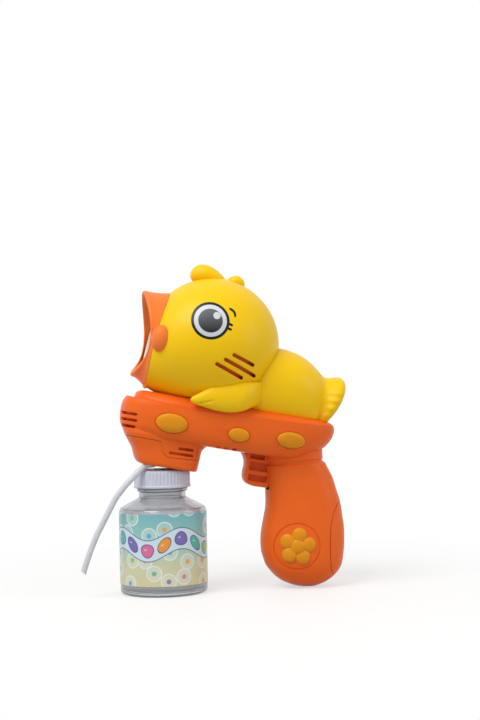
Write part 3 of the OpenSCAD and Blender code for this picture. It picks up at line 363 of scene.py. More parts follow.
def printed_film():
    """Gloss-laminated printed film: flat ink under a clear sheen, in millimetres along and up."""
    made = surface("printed_label_film", {"Roughness": 0.32, "IOR": 1.5}, relief=(11, 2, 0.12, 0.4))
    tree = made.node_tree
    spot = add_node(tree, "UVMap", uv_map="print")
    axes = add_node(tree, "SeparateXYZ", {"Vector": spot})
    along, up = axes.outputs[0], axes.outputs[1]
    height = add_node(tree, "Math", {0: up, 1: LABEL_HIGH - LABEL_LOW}, operation="DIVIDE")
    ink = add_node(tree, "ValToRGB", {"Fac": height})
    set_stops(ink.color_ramp, GROUND)
    turn = add_node(tree, "Math", {0: along, 1: math.tau / RIBBON_WAVE}, operation="MULTIPLY")
    wave = add_node(tree, "Math", {0: turn}, operation="SINE")
    swing = add_node(tree, "Math", {0: wave, 1: RIBBON_SWING, 2: RIBBON_MID}, operation="MULTIPLY_ADD")
    offset = add_node(tree, "Math", {0: up, 1: swing}, operation="SUBTRACT")
    depth = add_node(tree, "Math", {0: offset}, operation="ABSOLUTE")
    row = add_node(tree, "CombineXYZ", {"X": along, "Y": offset})
    fields = []
    for where, pitch, loose in ((spot, BUBBLE_PITCH, BUBBLE_LOOSE), (row, DROP_PITCH, 0)):
        cells = add_node(tree, "TexVoronoi", {"Vector": where, "Scale": 1 / pitch, "Randomness": loose},
                         voronoi_dimensions="2D")
        reach = add_node(tree, "Math", {0: cells, 1: pitch}, operation="MULTIPLY")
        pick = add_node(tree, "SeparateColor", {"Color": cells.outputs["Color"]})
        candy = add_node(tree, "ValToRGB", {"Fac": pick})
        set_stops(candy.color_ramp, [(i / len(CANDY), code) for i, code in enumerate(CANDY)])
        candy.color_ramp.interpolation = "CONSTANT"
        fields.append((cells, reach, candy))
    (_, bubble_reach, bubble_candy), (drops, drop_reach, drop_candy) = fields
    rim = add_node(tree, "Math", {0: bubble_reach, 1: BUBBLE_R, 2: BUBBLE_RIM}, operation="COMPARE")
    off_rim = add_node(tree, "Math", {0: 1, 1: rim}, operation="SUBTRACT")
    in_row = add_node(tree, "Math", {0: depth, 1: DROP_FLAT}, operation="MULTIPLY")
    drop_edge = add_node(tree, "Math", {0: drop_reach, 1: in_row}, operation="MAXIMUM")
    from_middle = add_node(tree, "VectorMath", {0: row, 1: drops.outputs["Position"]}, operation="SUBTRACT")
    glint = add_node(tree, "VectorMath", {0: from_middle, 1: DROP_GLINT}, operation="DISTANCE")
    glint_edge = add_node(tree, "Math", {0: glint, 1: in_row}, operation="MAXIMUM")
    inks = (
        (bubble_reach, BUBBLE_R, 0.3, linear("#EAF4EE")),
        (off_rim, 0.5, 0.75, linear("#E9F5F2")),
        (bubble_reach, BUBBLE_R * BUBBLE_HEART, 0.85, bubble_candy),
        (depth, RIBBON_HALF + OUTLINE, 1, linear("#3F5F96")),
        (depth, RIBBON_HALF, 1, linear("#D4E6F1")),
        (drop_edge, DROP_R + OUTLINE, 1, linear("#34508A")),
        (drop_edge, DROP_R, 1, drop_candy),
        (glint_edge, DROP_GLINT_R, 1, linear("#FBFDFE")),
    )
    for distance, edge, share, colour in inks:
        mask = add_node(tree, "MapRange", {"Value": distance, "From Min": edge + INK_EDGE,
                                           "From Max": edge - INK_EDGE, "To Max": share})
        ink = add_node(tree, "Mix", {"Factor": mask, "A": ink, "B": colour}, data_type="RGBA")
    feed(tree.nodes["Principled BSDF"], {"Base Color": ink})
    return made


# The film's unprinted back: a dull white that shows through the bottle.
white_backing = surface("white_film_backing", {"Roughness": 0.5}, tint=(6, 2, "#E9EBEA", "#F3F4F3"))
finish_piece(label, printed_film(), "bottle", "label_film", "bottle_label")
label.data.materials.append(white_backing)
for face in label.data.polygons:
    face.material_index = 0 if face.normal.dot(face.center * Vector((1, 1, 0))) > 0 else 1

# Screw cap
# A white polypropylene cap with fine grip ribs, a plain lower band and a rounded crown. It screws
# down on the neck and carries a foam sealing disc.
CAP_LOW = 59.55
CAP_HIGH = 69.75
CAP_R = 16.2
CAP_BORE = 13.6
CAP_TOP_T = 1.8
CAP_BAND = 1.5
CAP_RIBS = 48
RIB_DEPTH = 0.55
RIB_SHARP = 3
RIB_POINTS = 10
# Moulded polypropylene: milky bluish white, with a waxy sheen and a faint flow pattern.
polypropylene = surface("white_polypropylene", {"IOR": 1.49, "Subsurface Weight": 0.15, "Subsurface Scale": 1,
                                                "Subsurface Radius": (0.8 * MM, 0.9 * MM, 1.0 * MM)},
                        tint=(12, 3, "#C6C8D8", "#D4D6E3"), gloss=(12, 3, 0.36, 0.5))


def cap_ring(r, z, ribbed):
    """One round of the cap; ribbed is the share of the rib depth that is cut there."""
    ring = []
    for a in turns(CAP_RIBS * RIB_POINTS):
        groove = (0.5 + 0.5 * math.cos(CAP_RIBS * a))**RIB_SHARP
        reach = r - RIB_DEPTH * ribbed * groove
        ring.append(Vector((reach * math.cos(a), reach * math.sin(a), z)) * MM)
    return ring


rib_r = CAP_R - 0.3
cap_rows = [
    (CAP_BORE, CAP_LOW + 0.3, 0), (CAP_BORE + 0.3, CAP_LOW, 0), (CAP_R - 0.4, CAP_LOW, 0),
    (CAP_R, CAP_LOW + 0.4, 0), (CAP_R, CAP_LOW + CAP_BAND - 0.3, 0), (rib_r, CAP_LOW + CAP_BAND, 0),
    (rib_r, CAP_LOW + CAP_BAND + 0.5, 1), (rib_r, CAP_HIGH - 2.2, 1), (rib_r - 0.15, CAP_HIGH - 1.3, 0.7),
    (rib_r - 0.55, CAP_HIGH - 0.55, 0.25), (rib_r - 1.1, CAP_HIGH - 0.15, 0), (rib_r - 1.9, CAP_HIGH, 0),
    (0, CAP_HIGH, 0), (0, CAP_HIGH - CAP_TOP_T, 0), (CAP_BORE, CAP_HIGH - CAP_TOP_T, 0),
]
cap = new_piece("screw_cap", *skin([cap_ring(*row) for row in cap_rows], closed=True))
finish_piece(cap, polypropylene, "cap", "white_cap", "bottle_cap")

# Hull
# The gun's body: two injection-moulded ABS halves that meet along the middle, with cooling slots in
# the nose and on the block, and holes in the sides that the amber studs snap into.
HULL_HALF = 26
SHELL = 2.2
HULL_POWER = 3
HULL_ROWS = [
    (16.6, -20, 70, 0.66), (17, -23, 76, 0.79), (18.5, -25, 80, 0.87), (22, -27.4, 84.6, 0.94),
    (26, -28.3, 90.4, 0.975), (30.5, -28.5, 93.6, 0.995), (34.5, -27.8, 94.6, 1), (37, -26.4, 94.2, 1),
]
RIM_W = HULL_ROWS[-1][0]
HULL_TALL = RIM_W - HULL_ROWS[0][0]
HOLLOW_TOP = [(RIM_W - 1.5, -26.9, 94.4, 1), (RIM_W + 6, -26.4, 94.2, 1)]
RIM_LOWEST = (10, -1.2)
RIM_RISE = ((36, 2.2), (84, 3))
RIM_FOOT = 17
BLOCK_HALF = 17.7
BLOCK_POWER = 3.2
BLOCK_ROWS = [
    (1.4, -13, 19, 0.9), (2.3, -15, 19.6, 0.97), (5.2, -17, 19.8, 1), (9.5, -18.9, 20.1, 1.02),
    (13.7, -22, 20.6, 1.06), (17.4, -24.6, 23.6, 1.12), (19.4, -25.3, 24.4, 1.12), (21.6, -25.9, 24.4, 1.07),
    (24, -25.6, 23.6, 0.98),
]
BLOCK_SEAM = [(-40, 15.6), (-8.4, 15.6), (-4.6, 14), (-3.3, 11.2), (-2.2, 9.1), (0.4, 7.5), (4, 7.3),
              (40, 9.2)]
SEAM_GAP = 0.25
SOCKET_U = 2.4
SOCKET_R = 16.1
SOCKET_W = (-10, 17.8)
NOSE_SLOTS = ((-34, 28.2, -20.1, 28.2), (-34, 24.8, -19.6, 24.8), (-34, 21.2, -19.9, 21.2))
BLOCK_SLOTS = ((5.4, 13.2, 14.5, 13.2), (0.7, 10.1, 14.8, 10.1))
SLOT_H = 1.6
NOSE_LEDGE = 4.4
RIM_ROLL = 0.3
STUDS = ((-1, 26.5, 17.8, 10.9), (37, 25.9, 12.2, 7.9), (67.1, 27.5, 16.8, 9.3))
STUD_GAP = 0.2
TRIGGER_SLOT = (43, 10, 63, 20)
TRIGGER_SIDE = 6.35
BAFFLE_GAP = 2.2
BAFFLE_FRONT = 0.15
BAFFLE_REAR = -17.5
BAFFLE_W = (19.6, 31.4)
NOTCHES = ((25.9, 17.2, 28.5, 17.2), (30.3, 17.3, 32.9, 17.3), (35.1, 17.4, 37.7, 17.4))
NOTCH_H = 1.4
NOSE_DEEP = 4
BLOCK_DEEP = 13
STUD_BED = 16
NOTCH_DEEP = 17
ARRIS = 0.25
SOFT_BELOW = 35
FAR = 60
SIDES = ((-1, "left"), (1, "right"))


def signed_power(value, power):
    """A number raised to a power with its sign kept."""
    return math.copysign(abs(value)**power, value)


def oblong(front, rear, half, w, power, sides=96):
    """A level outline from front to rear, between a round and a square, as u, y and w in mm."""
    ring = []
    for a in turns(sides):
        u = (front + rear) / 2 + (rear - front) / 2 * signed_power(math.cos(a), 2 / power)
        ring.append((u, half * signed_power(math.sin(a), 2 / power), w))
    return ring


def rim_dip(u):
    """How far the hull's rim dips or rises along its length."""
    lowest, sag = RIM_LOWEST
    reach, rise = RIM_RISE[0] if u < lowest else RIM_RISE[1]
    return rise * ((u - lowest) / reach)**2 + sag


def on_gun(rings):
    """Rings of u, y and w in mm as places in the frame."""
    return [[gun_point(*p) for p in ring] for ring in rings]


def gun_piece(name, rings, **how):
    """A piece skinned over rings of u, y and w in mm."""
    return new_piece(name, *skin(on_gun(rings), **how))


def hull_ring(row, inset=0, front_inset=0):
    """One level of the hull, drawn in by a wall, with the dip of the rim taken up gradually."""
    w, front, rear, share = row
    ring = oblong(front + inset + front_inset, rear - inset, HULL_HALF * share - inset, w, HULL_POWER)
    return [(u, y, w + rim_dip(u) * max(0, (w - RIM_FOOT) / (RIM_W - RIM_FOOT))) for u, y, w in ring]


def prism(name, outline, low_y, high_y):
    """A closed block over an outline of u and w, from one y to another, used to cut with."""
    return gun_piece(name, [[(u, y, w) for u, w in outline] for y in (low_y, high_y)])


def both_sides(outlines, inner):
    """Blocks over outlines on both sides, from a distance off the middle outward, used to cut with."""
    return [prism("side_cut", outline, side * inner, side * FAR) for outline in outlines for side in (-1, 1)]


def box(u0, w0, u1, w1):
    """Outline of a box in u and w."""
    return [(u0, w0), (u1, w0), (u1, w1), (u0, w1)]


def round_slot(u0, w0, u1, w1, height):
    """Outline of a slot with round ends from one end to the other."""
    slant = math.atan2(w1 - w0, u1 - u0)
    outline = []
    for centre_u, centre_w, start in ((u1, w1, slant - math.pi / 2), (u0, w0, slant + math.pi / 2)):
        pull = -height / 2 if start < slant else height / 2
        for k in range(9):
            a = start + math.pi * k / 8
            outline.append((centre_u + pull * math.cos(slant) + height / 2 * math.cos(a),
                            centre_w + pull * math.sin(slant) + height / 2 * math.sin(a)))
    return outline


def settled(piece):
    """Makes a piece's modifiers part of its mesh."""
    graph = bpy.context.evaluated_depsgraph_get()
    graph.update()
    shape = bpy.data.meshes.new_from_object(piece.evaluated_get(graph))
    old = piece.data
    piece.modifiers.clear()
    piece.data = shape
    shape.name = piece.name
    bpy.data.meshes.remove(old)
    shape.shade_smooth()
    shape.set_sharp_from_angle(angle=math.radians(SOFT_BELOW))
    return piece


def carve(piece, operation, *tools):
    """Cuts tools out of a piece, or joins them on, and uses them up."""
    for tool in tools:
        step = piece.modifiers.new("carve", "BOOLEAN")
        step.operation = operation
        step.solver = "EXACT"
        step.object = tool
    settled(piece)
    for tool in tools:
        shape = tool.data
        bpy.data.objects.remove(tool)
        bpy.data.meshes.remove(shape)
    return piece


def ease_edges(piece, width, angle=40):
    """Rounds the piece's sharp edges, as a mould's polished arrises come out."""
    rounding = piece.modifiers.new("rounding", "BEVEL")
    rounding.width = width * MM
    rounding.segments = 2
    rounding.limit_method = "ANGLE"
    rounding.angle_limit = math.radians(angle)
    return settled(piece)


def half_of(name, whole, side, gap=0.06):
    """A copy of one moulded half, cut off at the middle seam."""
    part = bpy.data.objects.new(name, whole.data.copy())
    scene.collection.objects.link(part)
    work = bmesh.new()
    work.from_mesh(part.data)
    everything = work.verts[:] + work.edges[:] + work.faces[:]
    bmesh.ops.bisect_plane(work, geom=everything, plane_co=(0, side * gap * MM, 0), plane_no=(0, -side, 0),
                           clear_outer=True)
    bmesh.ops.holes_fill(work, edges=[e for e in work.edges if e.is_boundary])
    bmesh.ops.recalc_face_normals(work, faces=work.faces)
    work.to_mesh(part.data)
    work.free()
    part.data.set_sharp_from_angle(angle=math.radians(SOFT_BELOW))
    return part


def moulded_abs(name, main, deep, rough, grain=0.5):
    """Moulded ABS: even colour with slow clouds from the melt, a satin gloss that drifts a little,
    and the fine sparkle-free grain of an eroded mould, drawn coarser than life so that it shows."""
    return surface(name, {"IOR": 1.53, "Specular IOR Level": 0.19}, tint=(26, 2, main, deep),
                   gloss=(7, 3, rough - 0.04, rough + 0.05, 0.3, 0.7), relief=(grain, 2, 0.08, 0.06))


orange_abs = moulded_abs("orange_abs", "#F56C1F", "#EF6418", 0.4)
hull_rings = [hull_ring(row) for row in eased(HULL_ROWS, 4)]
hull_rings += [hull_ring(HULL_ROWS[-1], RIM_ROLL, NOSE_LEDGE - RIM_ROLL)]
hull_whole = gun_piece("hull_whole", hull_rings)
block_rings = [oblong(f, r, BLOCK_HALF * s, w, BLOCK_POWER) for w, f, r, s in eased(BLOCK_ROWS, 3)]
hollow_rows = [(w + SHELL * (RIM_W - w) / HULL_TALL, f, r, s) for w, f, r, s in eased(HULL_ROWS[:-1], 3)]
hollow_rings = [hull_ring(row, SHELL) for row in hollow_rows]
hollow_rings += [hull_ring(row, SHELL, NOSE_LEDGE) for row in HOLLOW_TOP]
hull_hollow = gun_piece("hull_hollow", hollow_rings)


def off_seam(gap, w):
    """What lies between the socket cover's seam, raised by a gap, and a level above or below it."""
    seam = [(u, rise + gap) for u, rise in eased(BLOCK_SEAM, 4)]
    return prism("off_seam", seam + [(seam[-1][0], w), (seam[0][0], w)], -FAR, FAR)


def socket_bore():
    """The round hole in the block that takes the bottle's neck."""
    mouth = oval(SOCKET_U, 0, SOCKET_R, SOCKET_R, 64)
    return gun_piece("socket_bore", [[(u, y, w) for u, y in mouth] for w in SOCKET_W])


carve(hull_whole, "UNION", gun_piece("block_whole", block_rings))
stud_holes = [oval(u, w, length / 2 + STUD_GAP, height / 2 + STUD_GAP) for u, w, length, height in STUDS]
side_cuts = both_sides([round_slot(*slot, SLOT_H) for slot in NOSE_SLOTS], NOSE_DEEP)
side_cuts += both_sides([round_slot(*slot, SLOT_H) for slot in BLOCK_SLOTS], BLOCK_DEEP)
side_cuts += both_sides(stud_holes, STUD_BED)
side_cuts += both_sides([round_slot(*notch, NOTCH_H) for notch in NOTCHES], NOTCH_DEEP)
trigger_cut = prism("trigger_slot", box(*TRIGGER_SLOT), -TRIGGER_SIDE, TRIGGER_SIDE)
carve(hull_whole, "DIFFERENCE", hull_hollow, off_seam(SEAM_GAP, -FAR), socket_bore(), trigger_cut, *side_cuts)
for side, name in SIDES:
    half = ease_edges(half_of("hull_shell_" + name, hull_whole, side), ARRIS)
    finish_piece(half, orange_abs, "gun", "orange_shell", "hull_" + name)
bpy.data.objects.remove(hull_whole)
baffle_rings = [hull_ring(row, SHELL + BAFFLE_GAP, BAFFLE_FRONT - BAFFLE_GAP) for row in hollow_rows
                if BAFFLE_W[0] < row[0] < BAFFLE_W[1]]
baffle = gun_piece("nose_baffle", baffle_rings)
nose_room = prism("nose_room", box(-FAR, 0, BAFFLE_REAR, FAR), -FAR, FAR)
finish_piece(carve(baffle, "INTERSECT", nose_room), orange_abs, "gun", "orange_shell")

# Socket cover
# The lower half of the block, a separate orange ABS moulding with the round hole for the bottle's neck.
# It snaps on along a seam that steps down from the nose, and the tube passes its edge.
TUBE_PLAY = 0.35
socket_cover = gun_piece("socket_cover", block_rings)
room_rings = [tube_ring(step, (TUBE_D / 2 + TUBE_PLAY) * MM) for step in tube_steps]
tube_room = new_piece("tube_room", *skin(room_rings))
carve(socket_cover, "DIFFERENCE", off_seam(0, FAR), socket_bore(), tube_room)
finish_piece(ease_edges(socket_cover, ARRIS), orange_abs, "gun", "orange_shell", "tank_socket")

# Studs
# Pillow-shaped buttons, three a side, moulded in amber ABS and snapped into the hull with a fine dark
# joint round each.
STUD_STEPS = ((1, -1.6), (1, 0.1), (0.985, 0.55), (0.94, 1.0), (0.85, 1.4), (0.7, 1.7), (0.5, 1.9),
              (0.25, 1.98), (0.02, 2.0))
amber_abs = moulded_abs("amber_abs", "#EB9A13", "#E28C0C", 0.36)


def side_of(u, front, rear, half, power):
    """Half width of an oblong at a place along it."""
    along = min(1, abs(u - (front + rear) / 2) / ((rear - front) / 2))
    return half * (1 - along**power)**(1 / power)


def hull_side(u, w):
    """Half width of the hull at a place on its side."""
    rows = eased(HULL_ROWS, 4)
    low = max([r for r in rows if r[0] <= w], key=lambda r: r[0])
    high = min([r for r in rows if r[0] > w], key=lambda r: r[0])
    t = (w - low[0]) / (high[0] - low[0])
    front, rear, share = [low[i] + (high[i] - low[i]) * t for i in (1, 2, 3)]
    return side_of(u, front, rear, HULL_HALF * share, HULL_POWER)


def stud_rings(stud, side):
    """Rings of one stud from its edge inside the wall, over the rounded arris, to its middle."""
    u, w, length, height = stud
    rings = []
    for share, proud in STUD_STEPS:
        edge = oval(u, w, length / 2 * share, height / 2 * share)
        rings.append([(at_u, side * (hull_side(at_u, at_w) + proud), at_w) for at_u, at_w in edge])
    return on_gun(rings)


for side, name in SIDES:
    verts, faces = [], []
    for stud in STUDS:
        more_verts, more_faces = skin(stud_rings(stud, side))
        faces += [tuple(i + len(verts) for i in face) for face in more_faces]
        verts += more_verts
    buttons = new_piece("stud_buttons_" + name, verts, faces)
    finish_piece(buttons, amber_abs, "gun", "amber_trim", "studs_" + name)

# Deck
# The crowned cover that closes the hull and carries the duckling, moulded in the same orange ABS. It sits
# inside the rim, a little back from the nose, where it leaves a flat ledge.
DECK_ROWS = [(35.4, 2.5, 6.8), (37.04, 2.5, 6.8), (37.05, 0.4, 4.4), (38.4, 0.7, 4.5), (40.1, 2.6, 4.9),
             (41.6, 6, 6.2), (42.3, 10.5, 8.2)]
DECK_MIDDLE = (18, 24)


def deck_ring(w, inset, front_inset):
    """One level of the deck, following the rim's dip at its edge and flat on top."""
    last = HULL_ROWS[-1]
    ring = oblong(last[1] + front_inset, last[2] - inset, HULL_HALF - inset, w, HULL_POWER)
    keep = min(1, 1 - (w - RIM_W) / (DECK_ROWS[-1][0] - RIM_W))
    return [(u, y, w + rim_dip(u) * keep) for u, y, w in ring]


deck_rings = [deck_ring(*row) for row in DECK_ROWS[:2] + eased(DECK_ROWS[2:], 4)]
deck_rings += [deck_ring(DECK_ROWS[-1][0], *DECK_MIDDLE)]
finish_piece(gun_piece("deck_cover", deck_rings), orange_abs, "gun", "orange_shell", "top_deck")

# Head
# The duckling's head: two hollow yellow ABS halves glued along the middle, cut off in a bow where the
# beak goes on and flat where it stands on the deck. Three slanted slots a side, with an orange
# screen behind them, let the blower breathe.
HEAD_U = 17.3
HEAD_W = 74.5
HEAD_R = 38.2
HEAD_LEAN = math.radians(6)
HEAD_FRONT = 36.5
MOUTH_S = 31.5
MOUTH_BOW = (2.8, 24)
MOUTH_CUT = (45, 70)
JOWL = 5
JOWL_POWER = 1.9
DECK_W = DECK_ROWS[-1][0]
DECK_PLAY = 0.02
CHEEK_SLOTS = ((24.6, 69.1, 38.6, 65.1), (20.4, 65.9, 40.9, 59.4), (16.1, 62.8, 33.5, 57))
CHEEK_SLOT_H = 2.1
CHEEK_DEEP = 12
SCREEN = (13, 44, 54.5, 71.5)
SCREEN_GRID = (12, 8)
SCREEN_DEEP = 3.5
SCREEN_T = 0.8
CHIN = (-17.2, 0, 45.2)
CHIN_HALF = (1.7, 8, 1.7)
HEAD_ARRIS = 0.2
yellow_abs = moulded_abs("yellow_abs", "#FACD08", "#F5C404", 0.4)


def head_point(v, y, s):
    """A place on the head, v up and s forward from its middle in mm, as u, y and w of the gun."""
    u = HEAD_U + v * math.sin(HEAD_LEAN) - s * math.cos(HEAD_LEAN)
    return u, y, HEAD_W + v * math.cos(HEAD_LEAN) + s * math.sin(HEAD_LEAN)


def head_section(s, inset=0):
    """Middle height and radius of the head's round section at a distance forward."""
    r = HEAD_R - inset
    top = math.sqrt(max(r * r - s * s, 0))
    low = max(top, r - JOWL * (s / MOUTH_S)**JOWL_POWER) if s > 0 else top
    return (top - low) / 2, (top + low) / 2


def head_form(name, front, inset=0, count=40):
    """The head's form from its back pole to the mouth."""
    stop = math.asin(front / (HEAD_R - inset))
    rings = []
    for i in range(count + 1):
        s = (HEAD_R - inset) * math.sin(-math.pi / 2 + (stop + math.pi / 2) * i / count)
        middle, r = head_section(s, inset)
        rings.append([head_point(v, y, s) for v, y in oval(middle, 0, r, r, 96)])
    return gun_piece(name, rings)


def edge_s(y):
    """How far forward the bowed edge of the mouth lies at a distance from the middle."""
    return MOUTH_S + MOUTH_BOW[0] * (y / MOUTH_BOW[1])**2


def before_mouth(gap=0):
    """Everything in front of the mouth's edge, to cut the head off."""
    half, reach = MOUTH_CUT
    outline = [(y, edge_s(y) + gap) for y in range(-half, half + 1, 3)] + [(half, reach), (-half, reach)]
    return gun_piece("before_mouth", [[head_point(v, y, s) for y, s in outline] for v in (-reach, reach)])


def on_head(u, w, side, lift):
    """The place on the head's side over u and w, lifted off it in mm, as metres in the frame."""
    v = (u - HEAD_U) * math.sin(HEAD_LEAN) + (w - HEAD_W) * math.cos(HEAD_LEAN)
    s = (w - HEAD_W) * math.sin(HEAD_LEAN) - (u - HEAD_U) * math.cos(HEAD_LEAN)
    middle, r = head_section(s)
    y = math.sqrt(max(r * r - (v - middle)**2, 0))
    away = Vector((u - HEAD_U, y, w - HEAD_W)).normalized() * lift
    return gun_point(u + away.x, side * (y + away.y), w + away.z)


def lobe(name, centre, half, steps=12):
    """An egg round a place on the gun, with its three half sizes."""
    rings = []
    for i in range(steps + 1):
        a = math.pi * (i / steps - 0.5)
        level = oval(*centre[:2], half[0] * math.cos(a), half[1] * math.cos(a))
        rings.append([(u, y, centre[2] + half[2] * math.sin(a)) for u, y in level])
    return gun_piece(name, rings, ends=False)


def under_deck(level=DECK_W):
    """Everything under the deck's flat, to cut the duck's pieces off."""
    return prism("under_deck", box(-FAR, -FAR, 3 * FAR, level + DECK_PLAY), -FAR, FAR)


def head_core(grow):
    """The head's outer form, grown by a gap, to cut its neighbours with."""
    return carve(head_form("head_core", HEAD_FRONT, -grow), "DIFFERENCE", before_mouth(grow))


def sheet(rows):
    """Faces over rows of points, open at the edges."""
    count = len(rows[0])
    starts = [i * count + k for i in range(len(rows) - 1) for k in range(count - 1)]
    return [p for row in rows for p in row], [(c, c + 1, c + count + 1, c + count) for c in starts]


def thicken(piece, wall):
    """Gives a sheet its thickness in mm, behind its face."""
    step = piece.modifiers.new("wall", "SOLIDIFY")
    step.thickness = wall * MM
    return settled(piece)


head_whole = head_form("head_whole", HEAD_FRONT)
head_hollow = head_form("head_hollow", HEAD_FRONT - 1, SHELL, 30)
cheek_cuts = both_sides([round_slot(*slot, CHEEK_SLOT_H) for slot in CHEEK_SLOTS], CHEEK_DEEP)
carve(head_whole, "UNION", lobe("chin_roll", CHIN, CHIN_HALF))
carve(head_whole, "DIFFERENCE", head_hollow, under_deck(), before_mouth(), *cheek_cuts)
front, rear, low, high = SCREEN
columns, levels = SCREEN_GRID
for side, name in SIDES:
    half = ease_edges(half_of("head_shell_" + name, head_whole, side), HEAD_ARRIS)
    finish_piece(half, yellow_abs, "gun", "yellow_shell", "head_" + name)
    rows = []
    for k in range(levels + 1):
        w = low + (high - low) * k / levels
        rows.append([on_head(front + (rear - front) * i / columns, w, side, -SCREEN_DEEP)
                     for i in range(columns + 1)])
    screen = thicken(new_piece("cheek_screen_" + name, *sheet(rows)), SCREEN_T)
    finish_piece(screen, orange_abs, "gun", "orange_shell")
bpy.data.objects.remove(head_whole)

# Eyes
# Pad-printed eyes on both sides of the head: a black ring, a white ring and a grey pupil with a
# glint, two lashes and a brow. The pupil goes lighter towards its top, partly printed shading and partly a
# painted reflection. Each ink film is a hair thick and lies on the plastic.
EYE = (9.8, 85.4)
PUPIL_R = (0, 2.2, 4.4, 6.7)
WHITE_R = (6.7, 7.5, 8.3, 9.0)
RING_R = (9.0, 9.5, 10, 10.5)
GLINT = (12.9, 88.7)
GLINT_R = (0, 1.1, 2.0)
INK = 0.05
LASHES = (((20.1, 85.3), (21.2, 85.0), (22.3, 84.6)), ((19.4, 82.9), (20.7, 82.5), (22.0, 82.2)))
BROW = ((19.2, 94.0), (21.0, 93.4), (22.5, 92.1), (23.2, 89.6))
STROKE = 1.35
STROKE_BLUNT = 5
STROKE_TIP = 0.02


def print_disc(centre, radii, side, lift):
    """Rings of a round print from its middle to its edge, on the head."""
    return skin([[on_head(*p, side, lift) for p in oval(*centre, r, r, 64)] for r in radii], ends=False)


def print_stroke(points, side, lift):
    """A brush-like stroke with round ends along some points, on the head."""
    line = eased(points, 6)
    rows = []
    for i, (u, w) in enumerate(line):
        before, after = line[max(0, i - 1)], line[min(len(line) - 1, i + 1)]
        slant = math.atan2(after[1] - before[1], after[0] - before[0])
        share = 2 * i / (len(line) - 1) - 1
        wide = STROKE / 2 * math.sqrt(max(1 - abs(share)**STROKE_BLUNT, STROKE_TIP))
        rows.append([on_head(u - wide * q * math.sin(slant), w + wide * q * math.cos(slant), side, lift)
                     for q in (-1, -0.5, 0, 0.5, 1)])
    return sheet(rows)


def ink_film(name, low, high, rough=0.3):
    """Pad-printing ink: dense and even, a touch glossier than the plastic, going lighter from its low
    edge to its high edge across the eye; on the pupil that is partly printed shading and partly a painted
    reflection."""
    made = surface(name, {"IOR": 1.5, "Specular IOR Level": 0.2}, gloss=(0.8, 2, rough - 0.06, rough + 0.06))
    tree = made.node_tree
    level = add_node(tree, "SeparateXYZ", {"Vector": tree.nodes["Texture Coordinate"].outputs["Object"]})
    middle = gun_point(EYE[0], 0, EYE[1]).z
    half = PUPIL_R[-1] * MM
    height = add_node(tree, "MapRange", {"Value": level.outputs["Z"], "From Min": middle - half,
                                         "From Max": middle + half})
    tint = add_node(tree, "Mix", {"Factor": height, "A": linear(low), "B": linear(high)}, data_type="RGBA")
    feed(tree.nodes["Principled BSDF"], {"Base Color": tint})
    return made


black_ink = ink_film("black_ink", "#0B0C0C", "#222526")
white_ink = ink_film("white_ink", "#C9CDD2", "#DADEE2")
# The pupil's grey grows lighter towards its top: partly printed shading, partly a painted reflection of the
# gloss.
pupil_ink_and_reflection = ink_film("grey_ink_and_painted_reflection", "#17181A", "#6C6F70")
for side, name in SIDES:
    prints = [
        ("eye_ring", print_disc(EYE, RING_R, side, INK), black_ink),
        ("eye_white", print_disc(EYE, WHITE_R, side, INK), white_ink),
        ("eye_pupil", print_disc(EYE, PUPIL_R, side, INK), pupil_ink_and_reflection),
        ("eye_glint", print_disc(GLINT, GLINT_R, side, 2 * INK), white_ink),
        ("brow", print_stroke(BROW, side, INK), black_ink),
    ]
    prints += [(f"lash_{i}", print_stroke(points, side, INK), black_ink) for i, points in enumerate(LASHES)]
    for piece_name, shape, ink in prints:
        film = new_piece(f"{piece_name}_{name}", *shape)
        if film.data.polygons[0].normal.y * side < 0:
            film.data.flip_normals()
        finish_piece(thicken(film, INK), ink, "gun", "black_plastic" if ink is black_ink else "white_cap")

# Back and tail
# The duckling's body: one hollow yellow ABS moulding that runs back from the head and flares into a
# scalloped tail. It is screwed down to the deck from inside.
BACK_HALF = 22.8
BACK_POWER = 0.9
BACK_SINK = 2.2
BACK_ARRIS = 0.3
BACK_LOW = (32, 35)
BACK_ROWS = [
    (38, 71, 0.8, 0, 0), (44, 75.6, 0.97, 0, 0), (47, 77.2, 1.03, 0, 0), (50, 78.2, 1.06, 0, 0),
    (56, 78.8, 1.07, 0, 0), (62, 78.3, 1.06, 0, 0), (68, 76.9, 1.01, 0, 0), (74, 74.2, 0.92, 0, 0),
    (79, 70.8, 0.81, 0.05, 0), (82.5, 68, 0.69, 0.15, 0), (85, 66.6, 0.63, 0.35, 0.1),
    (88, 66.8, 0.66, 0.6, 0.6), (91, 67.6, 0.71, 0.82, 1), (93.2, 67.9, 0.72, 0.95, 1),
    (95, 67.4, 0.69, 1, 0.7), (96.4, 66, 0.63, 1, 0.4), (96.9, 63.8, 0.55, 1, 0.2),
]
TAIL_PIVOT = 66
TAIL_LEAN = 0.0135
TAIL_DEPTH = 26
SCALLOP = 0.4
SCALLOP_STEP = 4.6
SCALLOP_FROM = 49
SCALLOP_SPAN = (43, 61)
SCALLOP_FADE = 4
DECK_FOOT = (30, 0.5, 0.5)
DECK_LIFT = 0.04
HEAD_GAP = 0.1


def back_ring(u, top, share, lean, lobed, sides=96):
    """One section of the back: an egg-like upright round, leaning and scalloped towards the tail."""
    base = BACK_LOW[0] + (BACK_LOW[1] - BACK_LOW[0]) * lean
    half_h = (top - base) / 2
    ring = []
    for a in turns(sides):
        w = base + half_h + half_h * signed_power(math.sin(a), BACK_POWER)
        y = BACK_HALF * share * signed_power(math.cos(a), BACK_POWER)
        wave = math.cos(math.tau * (w - SCALLOP_FROM) / SCALLOP_STEP)
        for inside in (w - SCALLOP_SPAN[0], SCALLOP_SPAN[1] - w, abs(y)):
            wave *= min(1, max(0, inside / SCALLOP_FADE))
        drawn = lean * TAIL_LEAN * min(max(TAIL_PIVOT - w, 0), TAIL_DEPTH)**2
        ring.append((u - drawn, y + math.copysign(SCALLOP, y) * lobed * wave, w))
    return ring


